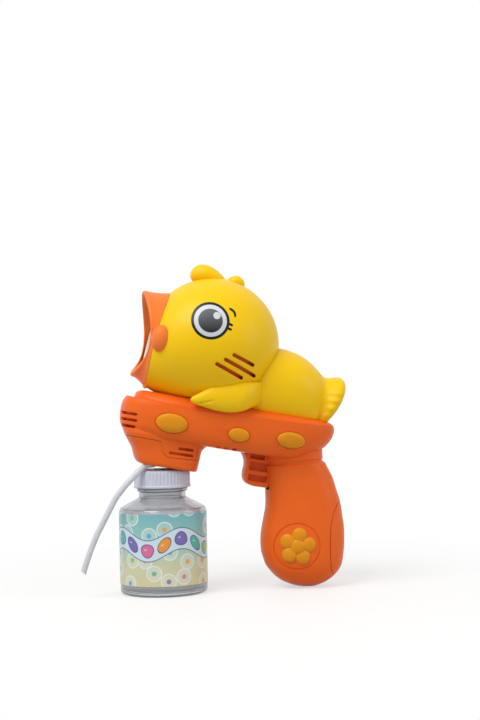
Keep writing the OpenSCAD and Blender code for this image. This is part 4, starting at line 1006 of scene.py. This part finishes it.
def deck_core():
    """The deck and all below it, a hair proud, to cut what stands on it."""
    rows = [DECK_FOOT] + [(w + DECK_LIFT, inset, front) for w, inset, front in eased(DECK_ROWS[2:], 4)]
    return gun_piece("deck_core", [deck_ring(*row) for row in rows])


back = gun_piece("back_shell", [back_ring(*row) for row in eased(BACK_ROWS, 4)])
carve(back, "DIFFERENCE", head_core(HEAD_GAP), under_deck(DECK_W - BACK_SINK), deck_core())
finish_piece(ease_edges(back, BACK_ARRIS), yellow_abs, "gun", "yellow_shell", "duck_back")

# Wings
# A folded wing on each flank, a separate yellow ABS moulding glued into the corner between head, back
# and deck. A crease near the tip parts one small feather from the rest.
WING_ROWS = [
    (6.8, 41.2, 0.6, 27.3, 0.6), (8, 41.3, 1.8, 27.4, 1.5), (11.5, 42.2, 3.6, 27.4, 2.6),
    (17, 43.9, 6.1, 27.4, 3.4), (22, 44.6, 7.4, 27.4, 3.9), (30, 46, 8.6, 27.2, 4.4),
    (36, 47.4, 8.4, 26.6, 4.8), (41, 49, 7.5, 24.4, 4.4), (44.5, 50.4, 6.6, 21.6, 3.6),
    (48, 51.6, 5, 18, 2.6), (51, 52.4, 2, 15.6, 1.6),
]
CREASE = (10, 38.8, 20, 42.6)
CREASE_DEEP = 1.1
CREASE_WIDE = 0.55
CREASE_START = 0.25


def wing_ring(u, w, half_h, y, half_t, side, sides=72):
    """One section of a wing, pressed in along the crease on its outer face."""
    u0, w0, u1, w1 = CREASE
    along = (u - u0) / (u1 - u0)
    fade = min(1, along / CREASE_START) * math.sqrt(1 - along) if 0 < along < 1 else 0
    crease_w = w0 + (w1 - w0) * along
    ring = []
    for a in turns(sides):
        here = w + half_h * math.sin(a)
        press = CREASE_DEEP * fade * math.exp(-((here - crease_w) / CREASE_WIDE)**2) * max(0, math.cos(a))
        ring.append((u, side * (y + half_t * math.cos(a) - press), here))
    return ring


for side, name in SIDES:
    wing = gun_piece("wing_shell_" + name, [wing_ring(*row, side) for row in eased(WING_ROWS, 10)])
    back_core = gun_piece("back_core", [back_ring(*row) for row in eased(BACK_ROWS, 3)])
    carve(wing, "DIFFERENCE", head_core(HEAD_GAP), deck_core(), back_core)
    finish_piece(wing, yellow_abs, "gun", "yellow_shell", "wing_" + name)

# Crest
# A soft-looking tuft of two rounded lobes on the crown, moulded in the same yellow ABS as the head
# and pegged on to it.
CREST_ROWS = (
    [(-1.7, 112.6, 0.2, 0.2), (-1.3, 112.6, 2.1, 2.4), (0.2, 112.9, 4.1, 4.5), (2.8, 113.4, 5.4, 5.9),
     (6.8, 113.6, 5.7, 6.9), (10.8, 112.9, 5.3, 6.8), (14.8, 111.5, 4.6, 5.9), (18.8, 109.6, 3.4, 4.4),
     (21.2, 108.2, 1.9, 2.6), (21.8, 107.8, 0.2, 0.2)],
    [(19.8, 111.4, 0.2, 0.2), (20.2, 111.5, 1.7, 2.2), (22, 112.2, 3.0, 4.0), (25, 112.6, 3.6, 4.9),
     (28, 111.9, 3.3, 4.5), (29.9, 110.9, 2.1, 3.0), (30.4, 110.5, 0.2, 0.2)],
)
PEG_GAP = 0.05
crest_parts = []
for rows in CREST_ROWS:
    rings = [[(u, y, v) for y, v in oval(0, w, half_y, half_h)] for u, w, half_h, half_y in eased(rows, 4)]
    crest_parts.append(gun_piece("crest_tuft", rings))
crest = carve(crest_parts[0], "UNION", crest_parts[1])
carve(crest, "DIFFERENCE", head_core(PEG_GAP))
finish_piece(crest, yellow_abs, "gun", "yellow_shell", "crest")

# Beak
# The wide-open beak, a flaring ring of paler orange ABS glued round the mouth. Its upper and lower bills
# reach forward of the corners, and a round cheek covers each corner.
BEAK_MID = -4.2
BEAK_HIGH = 23.6
BEAK_WIDE = 23.4
LOWER_LIP = 1.7
CORNER_S = 37.65
UPPER_REACH = (8.9, 1.2)
LOWER_REACH = (8.3, 2.5, 5)
LOWER_THICK = 0.45
BEAK_ROOT = (0.1, -0.2)
BEAK_LOOPS = ((0, 0, 0), (0.42, 0.25, 0), (0.75, 0.5, 0), (0.95, 0.72, 0), (0.99, 0.86, -0.1),
              (0.98, 0.94, 0.1), (0.96, 0.985, 0.5), (0.96, 1, 1.1), (0.97, 0.985, 1.8), (0.98, 0.94, 2.2),
              (1, 0.86, 2.3), (0.95, 0.72, 2.1), (0.75, 0.5, 2), (0.42, 0.25, 2), (0, 0, 2))
CHEEK = (-6.1, 26.2, 31.6)
CHEEK_HALF = (5.3, 5, 7.5)
beak_abs = moulded_abs("soft_orange_abs", "#FA8438", "#F57C31", 0.42)


def beak_ring(rise, t, wall, sides=96):
    """One loop of the beak, from the head's edge out to the rim and back down inside."""
    ring = []
    for a in turns(sides):
        up = math.cos(a)
        droop = max(0, -up)
        r = MOUTH_BOW[1]
        for _ in range(4):
            root = edge_s(r * math.sin(a)) + BEAK_ROOT[0]
            middle, r = head_section(root, BEAK_ROOT[1])
        rim_v = BEAK_MID + (BEAK_HIGH + LOWER_LIP * droop) * up
        inset = wall * (1 + LOWER_THICK * droop * t)
        v = middle + r * up + (rim_v - middle - r * up) * rise - inset * up
        y = (r + (BEAK_WIDE - r) * rise - inset) * math.sin(a)
        if up > 0:
            bill = UPPER_REACH[0] * up**UPPER_REACH[1]
        else:
            bill = LOWER_REACH[0] * droop**LOWER_REACH[1] - LOWER_REACH[2] * droop
        ring.append(head_point(v, y, root + (CORNER_S + bill - root) * t))
    return ring


beak = gun_piece("beak_shell", [beak_ring(*loop) for loop in BEAK_LOOPS], closed=True)
cheeks = []
for side in (-1, 1):
    cheek = lobe("cheek", head_point(CHEEK[0], side * CHEEK[1], CHEEK[2]), CHEEK_HALF)
    cheeks.append(carve(cheek, "DIFFERENCE", head_core(PEG_GAP)))
carve(beak, "UNION", *cheeks)
finish_piece(beak, beak_abs, "gun", "orange_shell", "beak")

# Nozzle rim
# The raised white rim of the bubble nozzle, a ring of ABS that stands round the perforated plate and
# shows through the open beak. It catches the drips and leads them back to the pump.
NOZZLE_V = -5.6
INNER_GRAIN = 0.7
NOZZLE_RIM = ((30.5, 20.2), (34.6, 20.2), (34.9, 19.9), (35, 19.5), (34.9, 19.1), (34.6, 18.8), (30.5, 18.8))
white_abs = moulded_abs("white_abs", "#E9E7E1", "#DEDBD3", 0.45, INNER_GRAIN)
rim_rings = [[head_point(v, y, s) for v, y in oval(NOZZLE_V, 0, r, r, 72)] for s, r in NOZZLE_RIM]
finish_piece(gun_piece("nozzle_rim", rim_rings, closed=True), white_abs, "gun", "inner_plastic")

# Grip
# Two orange ABS halves that hold the batteries, with a groove under the hull where the collar ends
# and a fine ring moulded round the emblem. The round butt rests on the table.
GRIP_HALF = 17.4
GRIP_POWER = 2.4
GRIP_TOP = 16.4
GRIP_ROWS = [
    (-54.3, 84, 93, 0.3), (-53.2, 79.1, 97.8, 0.52), (-51.5, 75.4, 101, 0.68), (-49.6, 72.7, 104, 0.8),
    (-45.7, 68.5, 108, 0.92), (-41.4, 66.1, 110.6, 0.98), (-37.1, 64.2, 111.7, 1), (-28.6, 62.7, 111.5, 1),
    (-18.7, 62.8, 110, 0.98), (-11.7, 62.8, 108, 0.96), (-2.6, 61.2, 105, 0.93), (4.2, 59.3, 101.5, 0.92),
    (8.6, 58.2, 99.4, 0.91), (12.2, 57.3, 97.2, 0.92), (16.4, 56.3, 94, 0.93), (20.5, 56, 91.3, 0.93),
    (26, 57, 90, 0.92),
]
FLOOR_GAP = 0.1
COLLAR = (58.9, 12.3, 0.21)
COLLAR_GROOVE = (2.2, 0.9)
COLLAR_INSET = 0.35
COLLAR_SHARP = (4, 8)
COLLAR_STEP = 0.25
COLLAR_FOOT = 8
DOOR_SEAM = [(102.3, -3.1), (99.9, -9.2), (99, -16.7), (100.2, -28), (101.8, -36), (103.6, -42),
             (106.8, -45.6)]
DOOR_REAR = 140
EMBLEM = (81.5, -31.4)
EMBLEM_R = 12.5
RING_GROOVE = (0.7, 0.45)
GROOVE_Y = (4, GRIP_HALF + 8)
GRIP_SLOT = (40, -2.4, 68, 40)
BUTT_FLOOR = -52
HOLLOW_LIFT = 4
HULL_GAP = 0.1
GRIP_ARRIS = 0.2
butt_w = (FLOOR_GAP - GUN_LIFT + GRIP_ROWS[0][2] * math.sin(GUN_LEAN)) / math.cos(GUN_LEAN)
grip_stretch = (GRIP_TOP - butt_w) / (GRIP_TOP - GRIP_ROWS[0][0])


def grip_level(w):
    """Height on the grip, stretched so that the butt just reaches the table."""
    return w if w > GRIP_TOP else GRIP_TOP - (GRIP_TOP - w) * grip_stretch


def grip_ring(row, inset=0, lift=0, collar=True):
    """One level of the grip, drawn in above the collar's slanting line and grooved along it."""
    w, front, rear, share = row
    middle = (front + rear) / 2
    level = grip_level(w) + lift
    ring = []
    for u, y, w in oblong(front + inset, rear - inset, GRIP_HALF * share - inset, level, GRIP_POWER):
        above = w - (COLLAR[1] + COLLAR[2] * (u - COLLAR[0]))
        depth = 0
        if collar:
            depth = COLLAR_GROOVE[1] * math.exp(-(above / (COLLAR_GROOVE[0] / 2))**COLLAR_SHARP[0])
            depth += COLLAR_INSET / (1 + math.exp(-COLLAR_SHARP[1] * above))
        reach = math.hypot(u - middle, y)
        ring.append((u - (u - middle) / reach * depth, y - y / reach * depth, w))
    return ring


def door_room(gap):
    """What the battery door takes out of the grip, as a block from side to side."""
    seam = [(u, grip_level(w)) for u, w in eased(DOOR_SEAM, 4)]
    last = len(seam) - 1
    edge = [(u + gap, w + gap * (-1 if i == 0 else 1 if i == last else 0)) for i, (u, w) in enumerate(seam)]
    return prism("door_room", [(DOOR_REAR, edge[0][1])] + edge + [(DOOR_REAR, edge[-1][1])], -FAR, FAR)


def emblem_groove(side):
    """A round moulding groove on one side of the grip."""
    wide, deep = RING_GROOVE
    near, far = GROOVE_Y
    loops = []
    for r, y in ((0, near), (wide, near), (wide, far), (0, far)):
        loop = oval(EMBLEM[0], grip_level(EMBLEM[1]), EMBLEM_R + r, EMBLEM_R + r, 96)
        loops.append([(u, side * y, w) for u, w in loop])
    return carve(gun_piece("emblem_groove", loops, closed=True), "DIFFERENCE", grip_core(deep))


def grip_core(inset=0):
    """The grip's outer form without its collar, to cut its neighbours with."""
    return gun_piece("grip_core", [grip_ring(row, inset, collar=False) for row in eased(GRIP_ROWS, 3)])


def grip_hollow():
    """The room inside the grip."""
    rows = [row for row in eased(GRIP_ROWS, 2) if row[0] > BUTT_FLOOR]
    rings = [grip_ring(row, SHELL, collar=False) for row in rows]
    return gun_piece("grip_hollow", rings + [grip_ring(rows[-1], SHELL, HOLLOW_LIFT, False)])


grip_rows = eased(GRIP_ROWS, 3)
close_rows = []
for low, high in zip(grip_rows, grip_rows[1:]):
    cuts = max(1, round((high[0] - low[0]) / COLLAR_STEP)) if low[0] > COLLAR_FOOT else 1
    close_rows += [[a + (b - a) * k / cuts for a, b in zip(low, high)] for k in range(cuts)]
grip_whole = gun_piece("grip_whole", [grip_ring(row) for row in close_rows + grip_rows[-1:]])
hull_core = gun_piece("hull_core", [hull_ring(row, -HULL_GAP) for row in eased(HULL_ROWS, 4)])
trigger_room = prism("trigger_room", box(*GRIP_SLOT), -TRIGGER_SIDE, TRIGGER_SIDE)
carve(grip_whole, "DIFFERENCE", grip_hollow(), hull_core, door_room(0), trigger_room,
      emblem_groove(-1), emblem_groove(1))
for side, name in SIDES:
    half = ease_edges(half_of("grip_shell_" + name, grip_whole, side), GRIP_ARRIS)
    finish_piece(half, orange_abs, "gun", "orange_shell", "grip_" + name)
bpy.data.objects.remove(grip_whole)

# Battery door
# The curved cover at the back of the grip, moulded in the same orange ABS. It closes off the three
# cells and comes off to the rear.
DOOR_GAP = 0.35
DOOR_ARRIS = 0.3
door = grip_core()
door.name = "door_cover"
carve(door, "INTERSECT", door_room(DOOR_GAP))
carve(door, "DIFFERENCE", grip_hollow())
finish_piece(ease_edges(door, DOOR_ARRIS), orange_abs, "door", "orange_shell", "battery_door")

# Emblems
# A raised five-petalled flower on each side of the grip, moulded in amber ABS and glued down inside
# the ring.
FLOWER_MIDDLE = 4.7
PETAL_R = 4.3
PETAL_ORBIT = 6.4
PETALS = 5
FLOWER_PROUD = (2.3, 1.8)
FLOWER_SINK = 0.3
EMBLEM_ROW = GRIP_ROWS[7]


def grip_side(u):
    """Half width of the grip beside the emblem."""
    return side_of(u, *EMBLEM_ROW[1:3], GRIP_HALF, GRIP_POWER)


def flower_dome(name, u, w, r, proud, side, steps=12):
    """One dome of the flower, bent to the grip's side."""
    rings = []
    for i in range(steps + 1):
        a = math.pi * (i / steps - 0.5)
        level = oval(u, w, r * math.cos(a), r * math.cos(a))
        lift = proud * math.sin(a)
        rings.append([(here, side * (grip_side(here) - FLOWER_SINK + lift), high) for here, high in level])
    return gun_piece(name, rings, ends=False)


heart_u, heart_w = EMBLEM[0], grip_level(EMBLEM[1])
for side, name in SIDES:
    flower = flower_dome("flower_" + name, heart_u, heart_w, FLOWER_MIDDLE, FLOWER_PROUD[0], side)
    petals = []
    for a in turns(PETALS):
        petal_u, petal_w = heart_u - PETAL_ORBIT * math.sin(a), heart_w + PETAL_ORBIT * math.cos(a)
        petals.append(flower_dome("petal", petal_u, petal_w, PETAL_R, FLOWER_PROUD[1], side))
    carve(flower, "UNION", *petals)
    carve(flower, "DIFFERENCE", grip_core())
    finish_piece(flower, amber_abs, "gun", "amber_trim", "emblem_" + name)

# Trigger
# An orange ABS finger lever on a steel cross pin, moulded with open pockets between ribs on both sides.
# A spring behind it pushes it forward.
TRIGGER_LINE = [(44.2, 16.2), (46.3, 12.9), (47, 9.3), (46.8, 4.6), (47.7, 1.2), (49.9, -0.9), (53, -1.6)]
TRIGGER_BACK = [(60.8, -1.5), (62, 0.6), (62, 14), (58.6, 17), (57.4, 21), (56, 24), (52.5, 25.2), (49, 24),
                (47.6, 21), (47, 16.2)]
TRIGGER_T = 12
TRIGGER_WEB = 2.4
POCKETS = ((48.4, 13.8, 57, 17.2), (48.8, 7.2, 60, 12.2), (49, 1.2, 60, 4.9))
TRIGGER_PIN = (52.5, 21)
PIN_HOLE_R = 1.6
TRIGGER_ARRIS = 0.4
trigger = prism("trigger_blade", eased(TRIGGER_LINE, 4) + TRIGGER_BACK, -TRIGGER_T / 2, TRIGGER_T / 2)
pin_hole = prism("pin_hole", oval(*TRIGGER_PIN, PIN_HOLE_R, PIN_HOLE_R, 32), -FAR, FAR)
carve(trigger, "DIFFERENCE", pin_hole, *both_sides([box(*pocket) for pocket in POCKETS], TRIGGER_WEB / 2))
finish_piece(ease_edges(trigger, TRIGGER_ARRIS), orange_abs, "trigger", "orange_shell", "trigger")

# Works inside
# What the shells hold: the bubble nozzle that shows white in the mouth, the blower, the pump with
# its gears and hoses, the switch and the battery tray. These keep the shapes that they are made to.
BRUSH_MM = 0.5
BRUSH_STRETCH = (1, 1, 0.05)


def plated_steel():
    """Nickel-plated steel: bright, with a drawn grain that breaks up its gloss, coarser here than in life
    so that it shows."""
    made = surface("plated_steel", {"Base Color": linear("#C3C5C8"), "Metallic": 1})
    tree = made.node_tree
    place = tree.nodes["Texture Coordinate"].outputs["Object"]
    drawn = add_node(tree, "Mapping", {"Vector": place, "Scale": BRUSH_STRETCH})
    grain = add_node(tree, "TexNoise", {"Vector": drawn, "Scale": 1 / (BRUSH_MM * MM)})
    gloss = add_node(tree, "MapRange", {"Value": grain, "To Min": 0.18, "To Max": 0.42})
    feed(tree.nodes["Principled BSDF"], {"Roughness": gloss})
    return made


# Plain moulded plastics and foam: matt, with slow clouds and a fine grain, drawn coarse so that it shows.
natural_plastic = moulded_abs("natural_acetal", "#E8E4DA", "#DCD6C8", 0.5, INNER_GRAIN)
black_plastic = moulded_abs("black_abs", "#26262A", "#1E1E21", 0.45, INNER_GRAIN)
red_plastic = moulded_abs("red_acetal", "#B03A2E", "#9C2F25", 0.4, INNER_GRAIN)
sealing_foam = moulded_abs("soft_sealing_foam", "#DFE1E4", "#D2D5D9", 0.75, INNER_GRAIN)
cell_sleeve = moulded_abs("shrunk_cell_sleeve", "#C9A44B", "#B78F36", 0.3, INNER_GRAIN)
steel = plated_steel()
INNER = (
    (white_abs, ("bubble_nozzle",)),
    (orange_abs, ("socket_cup",)),
    (sealing_foam, ("cap_liner", "socket_seal")),
    (natural_plastic, ("air_duct", "motor_mount", "motor_cradle", "pump_housing", "fan_wheel", "pump_pinion",
                       "pump_rotor")),
    (clear_vinyl, ("pump_hose", "feed_hose")),
    (steel, ("blower_motor", "pump_motor", "trigger_pin", "battery_contacts")),
    (black_plastic, ("battery_tray", "trigger_switch")),
    (cell_sleeve, ("battery_cells",)),
    (red_plastic, ("switch_plunger",)),
)
for material, names in INNER:
    for name in names:
        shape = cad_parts[name].data
        shape.materials.clear()
        shape.materials.append(material)

# Trigger spring
# A coil of plated steel wire between the trigger's back and a rib of the grip, drawn at rest. In the toy
# it shortens as the trigger is pulled and pushes it forward again.
SPRING_SPAN = (62.7, 68.6)
SPRING_W = 4
SPRING_R = 2.15
SPRING_WIRE = 0.7
SPRING_TURNS = 5
SPRING_STEPS = 120
spring_line = []
for i in range(SPRING_STEPS + 1):
    share = i / SPRING_STEPS
    a = math.tau * SPRING_TURNS * share
    u = SPRING_SPAN[0] + (SPRING_SPAN[1] - SPRING_SPAN[0]) * share
    spring_line.append(gun_point(u, SPRING_R * math.cos(a), SPRING_W + SPRING_R * math.sin(a)))
spring_rings = [tube_ring(step, SPRING_WIRE / 2 * MM, 8) for step in line_steps(spring_line)]
spring = finish_piece(new_piece("spring_coil", *skin(spring_rings)), steel, "gun", "steel", "trigger_spring")
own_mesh(spring)

# Floor and light
# The toy stands on a white table in a white studio: one large soft light high on the left in front,
# a weak one low on the right, and even light from all round.
FLOOR_HALF = 3.0
FLOOR_MIDDLE = (0.03, 0, 0)
FLOOR_CLEAR = (0.10, 0.30)
FLOOR_LEAST = 0.6
ROOM_LIGHT = 0.52
LIGHTS = (
    ("key", (-0.45, -0.45, 1.0), 0.6, 8.2),
    ("side", (0.8, -0.35, 0.35), 0.4, 1.2),
)
LIGHT_AIM = (0.03, 0.0, 0.12)


def shown_ray(tree):
    """One for a ray that shows the background itself: from the camera, off gloss or through glass."""
    ray = add_node(tree, "LightPath").outputs
    direct = add_node(tree, "Math", {0: ray["Is Camera Ray"], 1: ray["Is Glossy Ray"]}, operation="MAXIMUM")
    return add_node(tree, "Math", {0: direct, 1: ray["Is Transmission Ray"]}, operation="MAXIMUM")


def white_table():
    """White laminate that takes the toy's shadow near it and runs into the white of the room."""
    made = surface("white_laminate", {"Roughness": 0.6, "IOR": 1.5})
    tree = made.node_tree
    shader = tree.nodes["Principled BSDF"]
    place = tree.nodes["Texture Coordinate"].outputs["Object"]
    spot = add_node(tree, "VectorMath", {0: place, 1: FLOOR_MIDDLE}, operation="DISTANCE")
    away = add_node(tree, "MapRange", {"Value": spot, "From Min": FLOOR_CLEAR[0], "From Max": FLOOR_CLEAR[1],
                                       "To Min": FLOOR_LEAST})
    shown = shown_ray(tree)
    share = add_node(tree, "Math", {0: away, 1: shown}, operation="MULTIPLY")
    white = add_node(tree, "Emission", {"Color": (1, 1, 1, 1), "Strength": 1})
    tint = add_node(tree, "Mix", {"Factor": shown, "A": linear("#BCBCBB"), "B": linear("#FAFAF9")},
                    data_type="RGBA")
    mix = add_node(tree, "MixShader", {0: share, 1: shader, 2: white})
    feed(shader, {"Base Color": tint})
    feed(tree.nodes["Material Output"], {"Surface": mix})
    return made


corners = [(x * FLOOR_HALF, y * FLOOR_HALF, 0) for x, y in ((-1, -1), (1, -1), (1, 1), (-1, 1))]
floor = new_piece("floor", corners, [(0, 1, 2, 3)])
floor.data.materials.append(white_table())
for name, place, size, power in LIGHTS:
    lamp = bpy.data.objects.new(name, bpy.data.lights.new(name, "AREA"))
    lamp.data.size = size
    lamp.data.energy = power
    lamp.location = place
    lamp.rotation_euler = (Vector(LIGHT_AIM) - Vector(place)).to_track_quat("-Z", "Y").to_euler()
    scene.collection.objects.link(lamp)
room = bpy.data.worlds.new("white_room")
room.use_nodes = True
room.node_tree.nodes.clear()
level = add_node(room.node_tree, "MapRange", {"Value": shown_ray(room.node_tree), "To Min": ROOM_LIGHT})
white = add_node(room.node_tree, "Background", {"Color": (1, 1, 1, 1), "Strength": level})
add_node(room.node_tree, "OutputWorld", {"Surface": white})
scene.world = room
